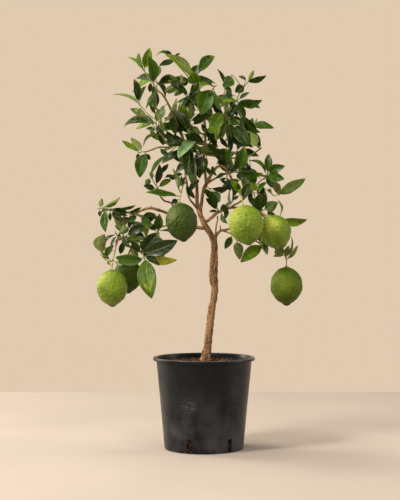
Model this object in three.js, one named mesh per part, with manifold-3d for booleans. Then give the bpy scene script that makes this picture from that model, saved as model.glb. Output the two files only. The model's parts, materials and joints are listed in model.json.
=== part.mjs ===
// Potted lemon tree: black nursery pot, bark-mix soil, woody trunk and limbs, six unripe
// lemons on their stalks, and leafy sprays.  Millimetres, +Z up, origin at the centre of
// the pot's underside, front of the tree facing -Y.

import * as THREE from 'three';
import { mergeVertices } from 'three/addons/utils/BufferGeometryUtils.js';
import Module from 'manifold-3d';

const wasm = await Module();
wasm.setup();

// ---- driving dimensions --------------------------------------------------------------

const POT_HEIGHT = 200;         // floor to the top of the lip
const POT_RIM_R = 111.5;        // outside of the lip
const POT_WALL_R = 104.5;       // outside of the wall just under the lip
const POT_FOOT_R = 87;          // outside of the wall at the floor
const POT_WALL = 2;             // wall thickness
const POT_FLOOR = 2.4;          // floor thickness
const LIP_DEPTH = 6.4;          // height of the turned-down lip
const POT_SEGMENTS = 28;
const SLOT_COUNT = 6;
const SLOT_FIRST_DEG = -21.5;   // from the front, positive towards +X
const SLOT_WIDTH = 11;
const SLOT_LOW = 2.2;
const SLOT_HIGH = 30;
const SOIL_TOP = 187.5;         // level of the soil at the wall
const SOIL_DOME = 4;            // how much higher it lies at the stem
const SEAT_GAP = 0.3;           // clearance between neighbouring pieces
const WOOD_FINENESS = 0.08;     // slivers finer than this are left out where pieces join
const LEAF_FINENESS = 0.3;
const TRUNK_SIDES = 8;
const TWIG_SIDES = 3;
const TWIG_END_R = 1.2;
const CALYX_R = 4.2;            // stalk end where it meets the fruit
const CALYX_SUNK = 0.045;       // how far down the fruit that end lies
const LEAF_HALF_THICK = 0.65;   // half of the blade thickness along the midrib
const LEAF_ASPECT = 0.43;       // real width of a lemon leaf over its length
const LEAF_MAX_WIDTH = 36;
const OUTLINE_EASE = 0.22;      // extra width of a straight-sided outline, shared by its stations
const PETIOLE = 6;              // bare stalk between twig and blade
const PETIOLE_HALF = 0.55;      // half height of the petiole in its twig
const BARE_START = 4;           // bare start of a twig where it leaves the wood
const FOOT_PITCH = 2.3;         // least distance between the feet of two leaves
// places tried along the twig, in order, for a foot whose own place is taken
const FOOT_SHIFTS = [0, -2.4, 2.4, -4.8, 4.8, -7.2, 7.2, -9.6, 9.6, -12, 12, -15, 15];

// The tree is laid out as it is seen from a point in front of it: x to the right and z up
// at the plane of the pot's axis, y the depth behind (+) or before (-) that plane.
const EYE_DISTANCE = 2596;
const EYE_X = -8.8;
const EYE_Z = 435;
const INNER_HALF_WIDTH = 112;   // middle of the crown, where leaves behind fill the gaps
const INNER_START = 590;
const CROWN_START = 440;        // height above which the crown spreads in depth
const CROWN_RISE = 190;         // height over which that spread comes in
const CROWN_DEPTH = 34;         // greatest push back or forward
const CROWN_PITCH = 46;         // sideways run of one radian of the wave
const CROWN_PHASE = 0.7;

// ---- colours ---------------------------------------------------------------------------

const COLOURS = {
  pot: { color: '#26272a', roughness: 0.48 },
  soil: { color: '#4a3424', roughness: 0.95 },
  bark: { color: '#6e4427', roughness: 0.85 },
  leaf: { color: '#3c5a17', roughness: 0.42 },
  lemonDark: { color: '#45601f', roughness: 0.5 },
  lemonLight: { color: '#8a9c33', roughness: 0.5 },
};

function material(name, key) {
  const m = new THREE.MeshStandardMaterial({ ...COLOURS[key], metalness: 0 });
  m.name = name;
  return m;
}

// ---- woody limbs: [x, z, depth, radius] along each one ----------------------------------

const LIMBS = {
  trunk: [[2.6, 150, 0, 10], [2.6, 184, 0, 11.6], [4, 198, 0, 10.6], [8, 224, 0, 8.6],
    [11, 252, 0, 8], [14, 280, 0, 7.9], [17.6, 309, 0, 7.8], [22, 332, 0, 7.2],
    [23.3, 350, 0, 7.2], [22, 366, 0, 8.6], [20.9, 384, 0, 9], [21.5, 400, 0, 8.9],
    [22, 413, 0, 8.7], [22.7, 430, 0, 7], [22.7, 447, 0, 6.6], [21.5, 462, 0, 6.8]],
  main_left: [[22, 452, 0, 6.2], [16, 468, -1, 6.3], [8, 480, -2, 6.2], [2, 490, -2, 6],
    [-4, 503, -2, 5.6], [-9, 515, -2, 5.4], [-13, 530, -2, 5]],
  left_strand: [[-11, 520, -2, 4], [-15, 538, -3, 4], [-15.5, 556, -4, 3.8], [-16, 575, -3, 3.6],
    [-22, 605, 0, 3.4], [-32, 640, 4, 3.2], [-46, 680, 6, 3], [-60, 712, 2, 2.8],
    [-70, 738, -4, 2.4], [-79, 757, -9, 2.2], [-89, 774, -12, 2], [-98, 783, -14, 1.8]],
  right_strand: [[-9, 516, -2, 4], [-6, 535, 0, 3.6], [-4, 550, 2, 3.4], [-1, 567, 3, 3.6],
    [6, 582, 3, 3.8], [14, 597, 2, 3.4], [22, 611, 1, 3.2], [33, 619.5, 0, 3],
    [43, 618, -2, 2.9], [53, 606, -5, 2.8], [60, 593, -8, 2.6], [65, 578, -10, 2.4]],
  leader: [[5, 580, 4, 3.2], [3, 600, 10, 3], [0, 630, 14, 2.8], [1, 660, 16, 2.7],
    [3, 690, 16, 2.5], [0, 725, 14, 2.3], [-10, 755, 8, 2.1], [-18, 780, 2, 1.9]],
  thin_left: [[-13, 523, -3, 2.4], [-22, 535, -6, 2.2], [-31, 546, -9, 2.1], [-35.5, 558, -10, 2],
    [-36.5, 572, -11, 2], [-38, 586, -12, 1.9], [-41, 600, -12, 1.8], [-42, 612, -12, 1.6]],
  left_arch: [[4, 482, 0, 4], [-6, 483.5, 2, 3.9], [-16, 485, 6, 3.7], [-32, 491, 10, 3.4],
    [-48, 500, 12, 3.3], [-64, 509, 12, 3.2], [-79.4, 515.5, 8, 3], [-96, 521.6, 3, 2.9],
    [-115.7, 527, -3, 2.7], [-131, 524.5, -8, 2.6], [-147, 517, -12, 2.5], [-161, 505, -16, 2.4],
    [-173, 493, -19, 2.3], [-182, 478, -21, 2.3], [-189, 462, -22, 2.2], [-193, 446, -24, 2.1]],
  arch_lower: [[-187, 468, -22, 1.9], [-179, 458, -24, 1.9], [-168, 447, -26, 1.8],
    [-154, 438, -26, 1.8], [-141, 431, -26, 1.7]],
  arch_upper: [[-171, 495, -19, 1.8], [-176, 509, -22, 1.7], [-186, 518, -26, 1.6],
    [-198, 522, -30, 1.5]],
  behind_fruit: [[-56, 505, 12, 2.2], [-64, 520, 16, 2.1], [-72, 538, 17, 2], [-87, 543, 15, 1.9],
    [-95, 552, 13, 1.8], [-103, 565, 12, 1.7]],
  fruit_side: [[-58, 506, 12, 1.8], [-70, 494, 10, 1.7], [-82, 489, 6, 1.6], [-93, 486, 2, 1.5]],
  right_low: [[1, 495, -1, 3.5], [10, 501, -1, 3.4], [20, 509, -2, 3.3], [29, 517, -3, 3.1],
    [40, 521, -2, 2.6], [52, 526, 2, 2.4], [62, 528, 6, 2.3], [73, 528, 10, 2.3],
    [90, 529, 14, 2.2], [106, 526, 15, 2.1], [118, 521, 12, 2.1], [126, 516, 8, 2]],
  right_mid: [[57, 527, 4, 2], [66, 534, 8, 1.9], [75, 538, 12, 1.8], [88, 548, 18, 1.8],
    [102, 563, 20, 1.7]],
  fruit5_stalk: [[122, 519, 10, 1.9], [131, 514, 0, 1.8], [137, 510.5, -9, 1.9],
    [140, 508, -13, 2.6]],
  behind_fruit5: [[120, 520, 11, 2], [132, 508, 24, 1.9], [146, 490, 32, 1.9],
    [160, 465, 32, 1.8], [172, 440, 18, 1.8], [178, 425, 5, 1.8]],
  right_fork: [[22, 456, 0, 3], [30, 471, 1, 2.8], [37, 477.5, 2, 2.4], [46, 479, 6, 2],
    [56, 481, 12, 1.9], [72, 478, 20, 1.8], [90, 468, 24, 1.8], [108, 458, 24, 1.7],
    [122, 450, 22, 1.6]],
  fork_twig: [[26, 466, 0, 2], [26, 480, 2, 1.7], [27.5, 492, 3, 1.6], [30, 502, 4, 1.5],
    [29.5, 510, 5, 1.3]],
  fork_stub: [[33, 474, 1, 1.8], [36, 480, 0, 1.5], [35.5, 489, 0, 1.2]],
  top_right: [[1, 652, 15, 2.4], [14, 672, 14, 2.3], [28, 695, 12, 2.2], [42, 718, 8, 2]],
  mid_right: [[1, 645, 14, 2], [22, 642, 16, 1.9], [48, 637, 16, 1.8], [74, 638, 14, 1.7],
    [98, 641, 10, 1.6], [113, 650, 7, 1.5], [127, 660, 4, 1.3]],
  to_v_pair: [[8, 582, 4, 2.4], [24, 592, 8, 2.2], [42, 601, 10, 2], [56, 604, 8, 1.9],
    [66, 607, 6, 1.8]],
  mid_left: [[-47, 684, 5, 2.1], [-60, 670, 0, 2], [-72, 661, -5, 1.9], [-84, 661, -8, 1.8],
    [-100, 661, -9, 1.7], [-113, 656, -10, 1.7], [-124, 652, -11, 1.6]],
  left_second: [[-72, 661, -5, 1.9], [-82, 671, -8, 1.8], [-91, 685, -10, 1.7]],
  centre_left: [[3, 688, 16, 1.9], [-10, 693, 9, 1.7], [-19, 698, 4, 1.6]],
  fruit3_stalk: [[-160, 441, -26, 1.7], [-165, 429, -10, 1.7], [-168, 419, 8, 1.9],
    [-168.5, 413, 17, 2.4]],
};

// ---- lemons: stalk end and nipple end [x, z, depth], greatest diameter, colour ----------

const LEMONS = [
  { top: [-54, 538, -66], tip: [-44, 452.5, -80], wide: 68, tone: 'lemonDark' },
  { top: [-203, 391, -44], tip: [-201, 309.5, -48], wide: 67, tone: 'lemonLight' },
  { top: [-168, 414, 22], tip: [-167, 339, 18], wide: 63, tone: 'lemonDark' },
  { top: [86, 531, -52], tip: [100, 446, -76], wide: 76, tone: 'lemonLight' },
  { top: [143, 510, -14], tip: [172, 437, -18], wide: 68, tone: 'lemonLight' },
  { top: [181, 397.5, -10], tip: [181.5, 312, -12], wide: 69.5, tone: 'lemonDark' },
];
const LEMON_SIDES = 14;
// half section of a lemon: [share of the length from the stalk end, share of the radius]
const LEMON_SECTION = [[0, 0], [0.02, 0.28], [0.09, 0.57], [0.22, 0.84], [0.4, 0.99],
  [0.57, 0.98], [0.73, 0.83], [0.86, 0.56], [0.94, 0.27], [0.985, 0.14], [1, 0]];

// ---- leafy sprays ------------------------------------------------------------------------
// twigs: first one springs from the wood, the next ones from a twig before; [x, z, depth].
// leaves: [base x, base z, tip x, tip z, width seen, depth of tip behind base, face, tone,
// sideways bend].  face 1/-1: upper side seen, leaning right/left; 2/-2: underside seen.
// tone 0 dark, 1 green, 2 olive, 3 pale underside, 4 yellow.
// back: twigs that run away behind the front leaves: [x, z, depth of the start, x, z, depth of
// the end, number of leaves on it].

const SPRAYS = [
  { name: 'spray_top_left', r: 1.5,
    twigs: [[[-98, 783, -14], [-104, 790, -15], [-112, 802, -16], [-120, 812, -17], [-132, 830, -18]]],
    leaves: [
      [-131, 831, -119, 880, 23, -8, 1, 2, 0], [-133, 832, -143, 869, 12, 20, -2, 3, 0],
      [-134, 831, -168, 859, 6, -6, 1, 2, 0], [-110, 800, -122, 861, 26, -18, -1, 1, -6],
      [-116, 808, -119, 782, 11, 14, 1, 0, 0], [-106, 790, -128, 746, 9, -10, 1, 1, 3],
      [-104, 789, -115, 737, 11, 6, -1, 0, 0], [-102, 787, -103, 742, 13, -14, 1, 2, 0]],
    back: [[-104, 790, -15, -108, 812, 66, 5]] },
  { name: 'spray_left_upper', r: 1.4,
    twigs: [[[-91, 685, -10], [-105, 700, -12], [-115, 714, -13], [-122, 725, -14]],
      [[-93, 687, -10], [-89, 700, -13], [-88, 711, -15], [-104, 721, -19], [-120, 731, -23],
        [-133, 745, -26], [-145, 758, -28]]],
    leaves: [
      [-124, 724, -163, 746, 18, -8, 2, 3, 0], [-120, 713, -180, 702, 15, -10, 1, 2, -5],
      [-102, 697, -128, 702, 9, 14, 1, 0, 0], [-97, 688, -133, 662, 5, -8, 1, 0, -7],
      [-146, 761, -154, 812, 18, -6, 1, 0, 0], [-143, 762, -127, 796, 11, 22, -2, 3, 0],
      [-147, 760, -199, 777, 6, -10, 1, 2, 0], [-136, 750, -148, 737, 13, -34, 2, 3, 0],
      [-88, 714, -61, 770, 13, 10, 2, 3, 0], [-92, 716, -103, 746, 12, 4, 2, 3, 0]],
    back: [[-105, 700, -12, -108, 716, 62, 5]] },
  { name: 'spray_left_middle', r: 1.4,
    twigs: [[[-124, 652, -11], [-134, 651, -13], [-143, 649, -15]]],
    leaves: [
      [-144, 650, -180, 676, 12, -12, 1, 2, 3], [-137, 652, -161, 682, 20, 16, -2, 3, 0],
      [-128, 649, -141, 594, 29, -20, 1, 2, -4], [-140, 648, -149, 636, 9, -14, 1, 0, 0],
      [-126, 652, -118, 633, 10, 8, -1, 0, 0]],
    back: [] },
  { name: 'spray_centre_arc', r: 1.7,
    twigs: [[[1, 657, 16], [-12, 663, -4], [-32, 675, -16], [-50, 671, -20], [-62, 662, -20],
      [-72, 653, -18], [-82, 646, -16]], [[-4, 659, 8], [2, 668, 0], [3, 674, -4]]],
    leaves: [
      [-32, 671, -37, 598, 28, -22, 1, 1, 3], [-74, 645, -33, 641, 30, 10, 1, 0, 0],
      [-84, 650, -119, 600, 10, -8, 2, 3, 3], [-30, 675, 18, 651, 9, -14, 1, 2, 0],
      [0, 671, -32, 691, 13, -8, 1, 0, 0], [6, 672, 34, 694, 16, 6, 1, 0, 0],
      [5, 668, 30, 657, 12, -4, 1, 0, 0], [-60, 666, -88, 690, 14, 14, 1, 0, 0],
      [-46, 673, -78, 664, 18, 20, 1, 0, 0]],
    back: [[-32, 675, -16, -46, 652, 78, 5]] },
  { name: 'spray_centre_hanging', r: 1.5,
    twigs: [[[0, 640, 15], [-10, 645, 2], [-20, 643, -8], [-25, 640, -12]]],
    leaves: [
      [-25, 638, -24, 577, 22, -16, 1, 2, 3], [-17, 641, -8, 594, 14, -6, -1, 0, 0],
      [-8, 640, 2, 612, 9, -16, 1, 2, 0]],
    back: [[-10, 645, 2, -14, 640, 82, 5]] },
  { name: 'spray_left_low', r: 1.4,
    twigs: [[[-103, 565, 12], [-103, 572, 8], [-110, 584, 6], [-117, 596, 5]]],
    leaves: [
      [-103, 577, -98, 624, 17, -8, 1, 0, 0], [-100, 572, -72, 588, 12, -10, 1, 2, 3],
      [-107, 569, -133, 577, 14, -12, 1, 0, 0], [-119, 600, -129, 577, 13, 6, 2, 3, 0],
      [-112, 588, -117, 608, 10, 10, 1, 1, 0], [-101, 570, -84, 552, 9, 14, 1, 1, 0]],
    back: [] },
  { name: 'spray_top_mid', r: 1.4,
    twigs: [[[-18, 780, 2], [-22, 798, 10], [-40, 822, 14], [-58, 842, 15], [-69, 854, 15]],
      [[-20, 790, 6], [-19, 800, 0], [-17, 813, -3], [-15, 824, -5]]],
    leaves: [
      [-70, 855, -108, 861, 6, 8, 1, 1, -9], [-70, 857, -91, 871, 7, -4, 1, 0, -3],
      [-68, 857, -52, 867, 6, 2, 1, 1, 3], [-66, 851, -99, 840, 13, 6, 1, 0, 0],
      [-30, 824, -58, 858, 12, 12, 1, 0, 0], [-13, 829, 24, 861, 25, -6, 1, 1, 6],
      [-24, 812, -86, 864, 22, -20, 1, 2, 0], [-20, 798, -25, 829, 30, -44, 1, 2, 0],
      [-21, 789, -31, 764, 16, -12, 1, 0, 0], [-36, 812, -46, 796, 7, 10, 1, 0, 3]],
    back: [[-22, 798, 10, -30, 806, 78, 5]] },
  { name: 'spray_top_left_of_centre', r: 1.5,
    twigs: [[[-10, 755, 8], [-28, 764, 4], [-42, 777, 0], [-53, 791, -2]]],
    leaves: [
      [-42, 778, -80, 808, 18, -18, 1, 0, 0], [-54, 795, -80, 822, 9, 14, 2, 3, 0],
      [-52, 798, -51, 822, 8, 18, 2, 3, 0], [-60, 797, -86, 782, 16, 10, 2, 3, 0],
      [-44, 778, -66, 776, 10, -10, 2, 3, 0], [-34, 770, -46, 746, 8, -8, 1, 1, 0]],
    back: [] },
  { name: 'spray_top_centre', r: 1.5,
    twigs: [[[-3, 733, 13], [0, 755, 4], [9, 775, 2], [19, 789, 0], [27, 797, -2]]],
    leaves: [
      [9, 784, -8, 732, 42, -50, 1, 2, 0], [20, 790, 38, 741, 15, -8, 2, 3, 0],
      [24, 797, -19, 777, 13, -22, 1, 2, -9], [20, 797, -5, 808, 6, 12, 1, 0, 0]],
    back: [[0, 755, 4, -8, 762, 84, 5]] },
  { name: 'spray_top_right', r: 1.7,
    twigs: [[[42, 718, 8], [50, 731, 6], [60, 746, 3], [66, 756, 0], [74, 770, -2], [80, 783, -4],
      [88, 794, -6], [96, 804, -7]],
      [[50, 731, 6], [44, 750, 9], [43, 766, 8], [46, 790, 4]],
      [[79, 780, -4], [79, 797, -8], [71, 810, -11], [62, 820, -13]],
      [[60, 746, 3], [72, 741, 0], [80, 734, -3], [88, 721, -2], [95, 711, -2], [101, 704, -3]]],
    leaves: [
      [96, 806, 109, 831, 10, 12, 2, 3, 0], [98, 805, 137, 819, 15, -8, 1, 1, 3],
      [93, 803, 68, 782, 22, -20, 1, 0, 0], [92, 808, 76, 817, 8, 8, 1, 0, 0],
      [78, 757, 128, 765, 21, -12, 1, 1, 2], [72, 754, 62, 737, 20, -22, 1, 0, 0],
      [47, 792, 63, 768, 13, -8, 1, 0, 0], [46, 792, 29, 833, 9, 14, 1, 0, 0],
      [60, 820, 42, 794, 27, -28, 1, 2, 3], [70, 766, 40, 762, 7, -14, 1, 2, 2],
      [60, 756, 46, 740, 11, -16, 2, 3, 0], [82, 733, 97, 690, 12, -10, 1, 0, -2],
      [85, 730, 118, 697, 16, 8, 1, 0, 3], [101, 703, 112, 663, 28, -24, 2, 3, 0],
      [103, 705, 125, 663, 14, 6, 1, 0, 5], [104, 706, 117, 725, 5, 14, 2, 3, 0]],
    back: [[66, 756, 0, 74, 764, 72, 5], [95, 711, -2, 100, 694, 62, 5]] },
  { name: 'spray_centre_right', r: 1.6,
    twigs: [[[39, 713, 9], [43, 727, -6], [45, 738, -10]], [[43.6, 730, -7], [55, 722, -6], [67, 711, -4]]],
    leaves: [
      [45, 738, 27, 675, 13, -18, 1, 2, 0], [48, 730, 40, 680, 13, 6, 2, 3, 4],
      [38, 736, 12, 692, 34, -30, 1, 2, 0], [68, 712, 98, 665, 32, -16, 1, 0, 0],
      [60, 716, 51, 682, 16, -14, 1, 1, 0], [67, 711, 70, 684, 9, -20, 1, 1, 0]],
    back: [[43, 727, -6, 34, 706, 84, 5]] },
  { name: 'spray_centre_left', r: 1.5,
    twigs: [[[-19, 698, 4], [-26, 705, -2], [-30, 715, -7], [-32, 722, -10]]],
    leaves: [
      [-32, 718, -50, 757, 15, -10, -1, 2, 0], [-29, 718, -30, 759, 17, 10, 2, 3, 0],
      [-26, 709, 11, 733, 22, -12, 1, 0, 4], [-33, 702, -54, 738, 12, 6, 1, 0, 0],
      [-35, 700, -73, 741, 22, -22, 1, 0, 0], [-34, 708, -62, 694, 14, -6, 1, 0, 0],
      [-26, 708, -8, 690, 11, -16, 2, 3, 0]],
    back: [[-30, 716, -7, -44, 716, 70, 5]] },
  { name: 'spray_mid_right', r: 1.5,
    twigs: [[[52, 637, 16], [56, 640, 4], [58, 645, -4]]],
    leaves: [
      [56, 640, 20, 646, 25, -14, 1, 0, 0], [58, 645, 54, 686, 13, -6, 1, 0, 0],
      [60, 640, 34, 622, 12, 8, 1, 0, 0]],
    back: [[56, 640, 4, 74, 652, 78, 5]] },
  { name: 'spray_v_pair', r: 1.5,
    twigs: [[[66, 607, 6], [69, 608, 0], [72, 606, -4]]],
    leaves: [
      [69, 611, 89, 664, 32, -14, 1, 1, -4], [67, 611, 49, 661, 14, -6, -1, 1, 0],
      [76, 604, 129, 604, 18, -10, 1, 1, 2], [72, 604, 86, 587, 14, -14, 1, 0, 0]],
    back: [[69, 608, 0, 82, 590, 74, 5]] },
  { name: 'spray_arch_left_leaf', r: 1.4,
    twigs: [[[30, 518, -3], [32, 522, -10], [36, 520, -15]]],
    leaves: [
      [30, 525, -6, 572, 17, -10, 1, 0, 0], [27, 523, 4, 549, 14, 10, 1, 0, 0],
      [29, 520, 11, 519, 7, -6, 1, 0, 0], [36, 518, 52, 493, 11, -10, 1, 1, -2]],
    back: [] },
  { name: 'spray_beside_fruit', r: 1.4,
    twigs: [[[50, 525, 2], [53, 530, -6], [62, 541, -8], [70, 552, -10]]],
    leaves: [
      [56, 532, 35, 521, 20, -12, 1, 0, 0], [55, 528, 46, 503, 12, -16, 1, 1, 0],
      [63, 542, 58, 577, 5, 8, 1, 0, 0], [71, 554, 66, 590, 17, -10, 1, 1, 0]],
    back: [] },
  { name: 'spray_under_arch', r: 1.3,
    twigs: [[[4, 577, 3], [10, 571, -6], [14, 568, -10]]],
    leaves: [
      [14, 566, 34, 540, 25, -8, 2, 3, 0], [15, 571, 57, 574, 13, -10, 1, 0, 0]],
    back: [] },
  { name: 'spray_arch_crown', r: 1.3,
    twigs: [[[49, 611, -4], [50, 604, -10], [51, 598, -12]]],
    leaves: [
      [51, 598, 57, 564, 14, -6, 1, 0, 0], [50, 592, 34, 588, 6, -8, 1, 0, 0],
      [47, 606, 26, 592, 10, -6, 1, 1, 0]],
    back: [] },
  { name: 'spray_right', r: 1.6,
    twigs: [[[102, 563, 20], [112, 574, 20], [120, 583, 18], [129, 590, 16], [137, 598, 13],
      [141, 603, 10]],
      [[118, 581, 19], [133, 570, 14], [145, 562, 10], [154, 554, 8], [159, 556, 5]]],
    leaves: [
      [138, 603, 97, 631, 8, -8, 1, 1, -5], [141, 606, 142, 646, 19, 8, 1, 1, 0],
      [144, 605, 178, 620, 22, -10, 1, 1, 3], [143, 601, 177, 591, 26, -18, 1, 1, -2],
      [140, 599, 150, 571, 16, -8, 1, 0, 0], [160, 557, 223, 592, 23, -12, 1, 1, 4],
      [154, 558, 141, 570, 9, -10, 2, 3, 0], [114, 579, 86, 592, 13, -12, 1, 3, -3],
      [121, 580, 138, 538, 14, -6, 1, 0, 4], [104, 566, 100, 542, 12, 10, 1, 0, 0]],
    back: [[129, 590, 16, 150, 588, 78, 3], [104, 566, 20, 112, 546, 92, 3]] },
  { name: 'spray_right_inner', r: 1.4,
    twigs: [[[123, 518, 10], [127, 521, 2], [131, 522, -2]]],
    leaves: [
      [127, 523, 120, 558, 30, -10, 1, 0, 0], [124, 522, 98, 552, 15, 8, 1, 0, 0],
      [122, 519, 97, 542, 9, -6, 1, 0, 0], [135, 520, 163, 540, 26, 30, 2, 3, 0],
      [132, 523, 141, 534, 5, 4, 1, 0, 0]],
    back: [] },
  { name: 'spray_behind_fruit5', r: 1.4,
    twigs: [[[150, 484, 32], [160, 494, 34], [167, 502, 32]]],
    leaves: [
      [168, 506, 162, 546, 5, -4, 1, 2, -4], [172, 500, 227, 502, 20, -14, 1, 2, 0],
      [164, 500, 140, 520, 16, 20, 1, 0, 0]],
    back: [[160, 494, 34, 158, 484, 92, 3]] },
  { name: 'spray_under_fruits', r: 1.4,
    twigs: [[[122, 450, 22], [127, 448, 14], [131, 446, 8]]],
    leaves: [
      [130, 444, 80, 408, 30, -16, 1, 1, -3], [126, 450, 141, 442, 20, 14, 1, 0, 0],
      [124, 452, 118, 470, 12, 6, 1, 0, 0]],
    back: [[127, 448, 14, 120, 462, 86, 3]] },
  { name: 'spray_fruit_left_foot', r: 1.3,
    twigs: [[[66, 479, 17], [65, 473, 6], [63, 469, 0]]],
    leaves: [[62, 467, 46, 437, 17, -6, 1, 1, 0]],
    back: [[65, 473, 6, 72, 456, 74, 3]] },
  { name: 'spray_far_left', r: 1.4,
    twigs: [[[-198, 522, -30], [-210, 525, -33], [-222, 527, -35], [-232, 526, -36]]],
    leaves: [
      [-226, 531, -184, 551, 10, 12, 2, 3, 2], [-230, 530, -224, 549, 12, 18, 2, 3, 0],
      [-220, 532, -190, 541, 8, -6, 1, 2, 2], [-217, 520, -216, 474, 19, -10, 1, 2, 0],
      [-207, 520, -206, 499, 8, 8, 1, 0, 0], [-229, 521, -229, 508, 9, -6, 1, 0, 0],
      [-204, 521, -179, 497, 20, -14, 1, 0, 0], [-201, 525, -150, 534, 9, -10, 1, 1, 3]],
    back: [[-203, 523, -31.3, -194, 514, 32, 3]] },
  { name: 'spray_arch_middle', r: 1.4,
    twigs: [[[-148, 516, -12], [-143, 512, -20], [-136, 509, -22]]],
    leaves: [
      [-138, 512, -105, 512, 12, -6, 1, 0, 3], [-143, 508, -113, 489, 19, -8, 1, 1, -3],
      [-147, 508, -170, 497, 15, -8, 1, 1, 0], [-137, 507, -112, 500, 15, 12, 1, 0, 0]],
    back: [[-143, 512, -20, -134, 498, 60, 3]] },
  { name: 'spray_arch_side', r: 1.3,
    twigs: [[[-164, 502, -17], [-162, 508, -22], [-163, 515, -24]]],
    leaves: [
      [-164, 516, -184, 523, 9, 4, 1, 0, 0], [-162, 514, -152, 519, 8, -8, 1, 0, 0],
      [-165, 500, -164, 483, 10, -12, 1, 0, 0], [-164, 512, -182, 498, 14, 8, 1, 0, 0]],
    back: [] },
  { name: 'spray_oval_leaf', r: 1.3,
    twigs: [[[-93, 486, 2], [-99, 480, -4], [-103, 474, -8]]],
    leaves: [[-103, 476, -98, 515, 23, -16, 1, 1, 0], [-100, 478, -122, 490, 14, 6, 1, 0, 0]],
    back: [[-99, 480, -4, -104, 468, 66, 3]] },
  { name: 'spray_lower_left', r: 1.6,
    twigs: [[[-141, 431, -26], [-135, 427, -32], [-131, 419, -36]]],
    leaves: [
      [-139, 434, -98, 474, 34, -4, 1, 0, 0], [-133, 431, -58, 456, 36, -28, 1, 0, -3],
      [-124, 424, -59, 413, 21, -8, 1, 4, 0], [-129, 424, -97, 401, 14, -20, 1, 0, 5],
      [-129, 413, -115, 328, 43, -34, 1, 1, -3], [-136, 414, -195, 419, 28, -10, 1, 1, 4]],
    back: [[-137, 428.3, -30, -110, 452, 46, 3]] },
  { name: 'spray_inner_left', r: 1.3,
    twigs: [[[-178, 457, -24], [-175, 461, -29], [-172, 466, -31]]],
    leaves: [
      [-170, 469, -121, 486, 24, -8, 1, 0, 5], [-170, 463, -145, 460, 8, -6, 1, 2, 0],
      [-173, 459, -165, 442, 10, -4, 1, 0, 0], [-177, 456, -184, 426, 14, 14, 1, 0, 0]],
    back: [[-175, 461, -29, -160, 452, 30, 3]] },
  { name: 'spray_arch_foot', r: 1.3,
    twigs: [[[-188, 465, -22], [-192, 470, -28], [-194, 474, -30]]],
    leaves: [
      [-195, 472, -221, 437, 8, -6, 1, 0, -3], [-189, 464, -166, 486, 17, -16, 2, 3, 0],
      [-192, 464, -204, 438, 7, 12, 1, 0, 0]],
    back: [] },
];

// Stalked fruits whose stalk also carries leaves: the last twig point is the lemon's crown.
const STALKS = [
  { name: 'fruit_stalk_1', fruit: 0, r: 1.8,
    twigs: [[[-38, 585, -12], [-44, 581, -24], [-50, 562, -48], [-54, 540, -65]],
      [[-51, 560, -50], [-58, 575, -46], [-63, 593, -44], [-68, 612, -42]]],
    leaves: [
      [-60, 554, -129, 562, 14, -6, 1, 1, 3], [-66, 603, -47, 601, 8, -16, 1, 0, 0],
      [-66, 600, -86, 594, 8, -10, 1, 0, 0], [-53, 572, -49, 598, 8, 16, 1, 0, 0],
      [-43, 585, -19, 548, 13, 10, 1, 0, 0]],
    back: [] },
  { name: 'fruit_stalk_2', fruit: 1, r: 1.7,
    twigs: [[[-193, 447, -24], [-196, 432, -29], [-200, 416, -35], [-203, 393, -43]],
      [[-201, 411, -37], [-210, 410, -39], [-220, 417, -41], [-226, 424, -42]]],
    leaves: [
      [-227, 426, -219, 470, 29, -6, 2, 3, 8], [-216, 420, -198, 446, 15, -12, 1, 1, 3],
      [-214, 414, -206, 401, 7, -8, 1, 2, 0], [-201, 413, -179, 401, 8, -10, 1, 3, 0]],
    back: [] },
  { name: 'fruit_stalk_4', fruit: 3, r: 1.8,
    twigs: [[[65, 579, -10], [71, 571, -12], [78, 561, -16], [83, 551, -26], [86, 533, -50]]],
    leaves: [
      [76, 562, 74, 583, 12, -16, 1, 1, 0], [86, 545, 99, 581, 24, 8, 1, 0, 0],
      [80, 556, 62, 545, 8, -8, 1, 1, 0]],
    back: [] },
  { name: 'fruit_stalk_6', fruit: 5, r: 1.7,
    twigs: [[[178, 426, 6], [181, 412, -2], [181, 399, -9]]],
    leaves: [
      [179, 420, 156, 436, 22, -10, 2, 3, 0], [182, 418, 186, 445, 16, 10, 2, 3, 0],
      [177, 423, 152, 421, 8, 10, 1, 0, 0], [183, 411, 206, 446, 10, -10, 1, 2, 2],
      [184, 424, 191, 466, 5, 16, 1, 0, -2]],
    back: [] },
];

// When a blade would touch something, its tip is bent nearer or farther (mm) or the blade
// is rolled (radians) until it hangs clear; the first free choice is taken.
const BENDS = [0, 8, -8, 16, -16, 26, -26, 38, -38, 52, -52, 68, -68];
const ROLLS = [0, 0.4, -0.4, 0.8, -0.8];
const SCALES = [1, 0.8];

// ---- small helpers -----------------------------------------------------------------------

// seeded draw, the same sequence for the same number
function random(seed) {
  let a = seed >>> 0;
  return () => {
    a = (a + 0x6d2b79f5) >>> 0;
    let t = Math.imul(a ^ (a >>> 15), 1 | a);
    t = (t + Math.imul(t ^ (t >>> 7), 61 | t)) ^ t;
    return ((t ^ (t >>> 14)) >>> 0) / 4294967296;
  };
}

// how far the crown is pushed back (+) or forward (-) at a traced place: none at the trunk
function crownDepth(x, z) {
  const rise = Math.min(1, Math.max(0, (z - CROWN_START) / CROWN_RISE));
  return CROWN_DEPTH * rise * rise * (3 - 2 * rise) * Math.sin(x / CROWN_PITCH + CROWN_PHASE);
}

// a traced point put at its depth, so that it is seen at the same place from the front
function place(x, z, y) {
  const deep = y + crownDepth(x, z);
  const k = (EYE_DISTANCE + deep) / EYE_DISTANCE;
  return new THREE.Vector3(EYE_X + (x - EYE_X) * k, deep, EYE_Z + (z - EYE_Z) * k);
}

function depthScale(y) {
  return (EYE_DISTANCE + y) / EYE_DISTANCE;
}

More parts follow.
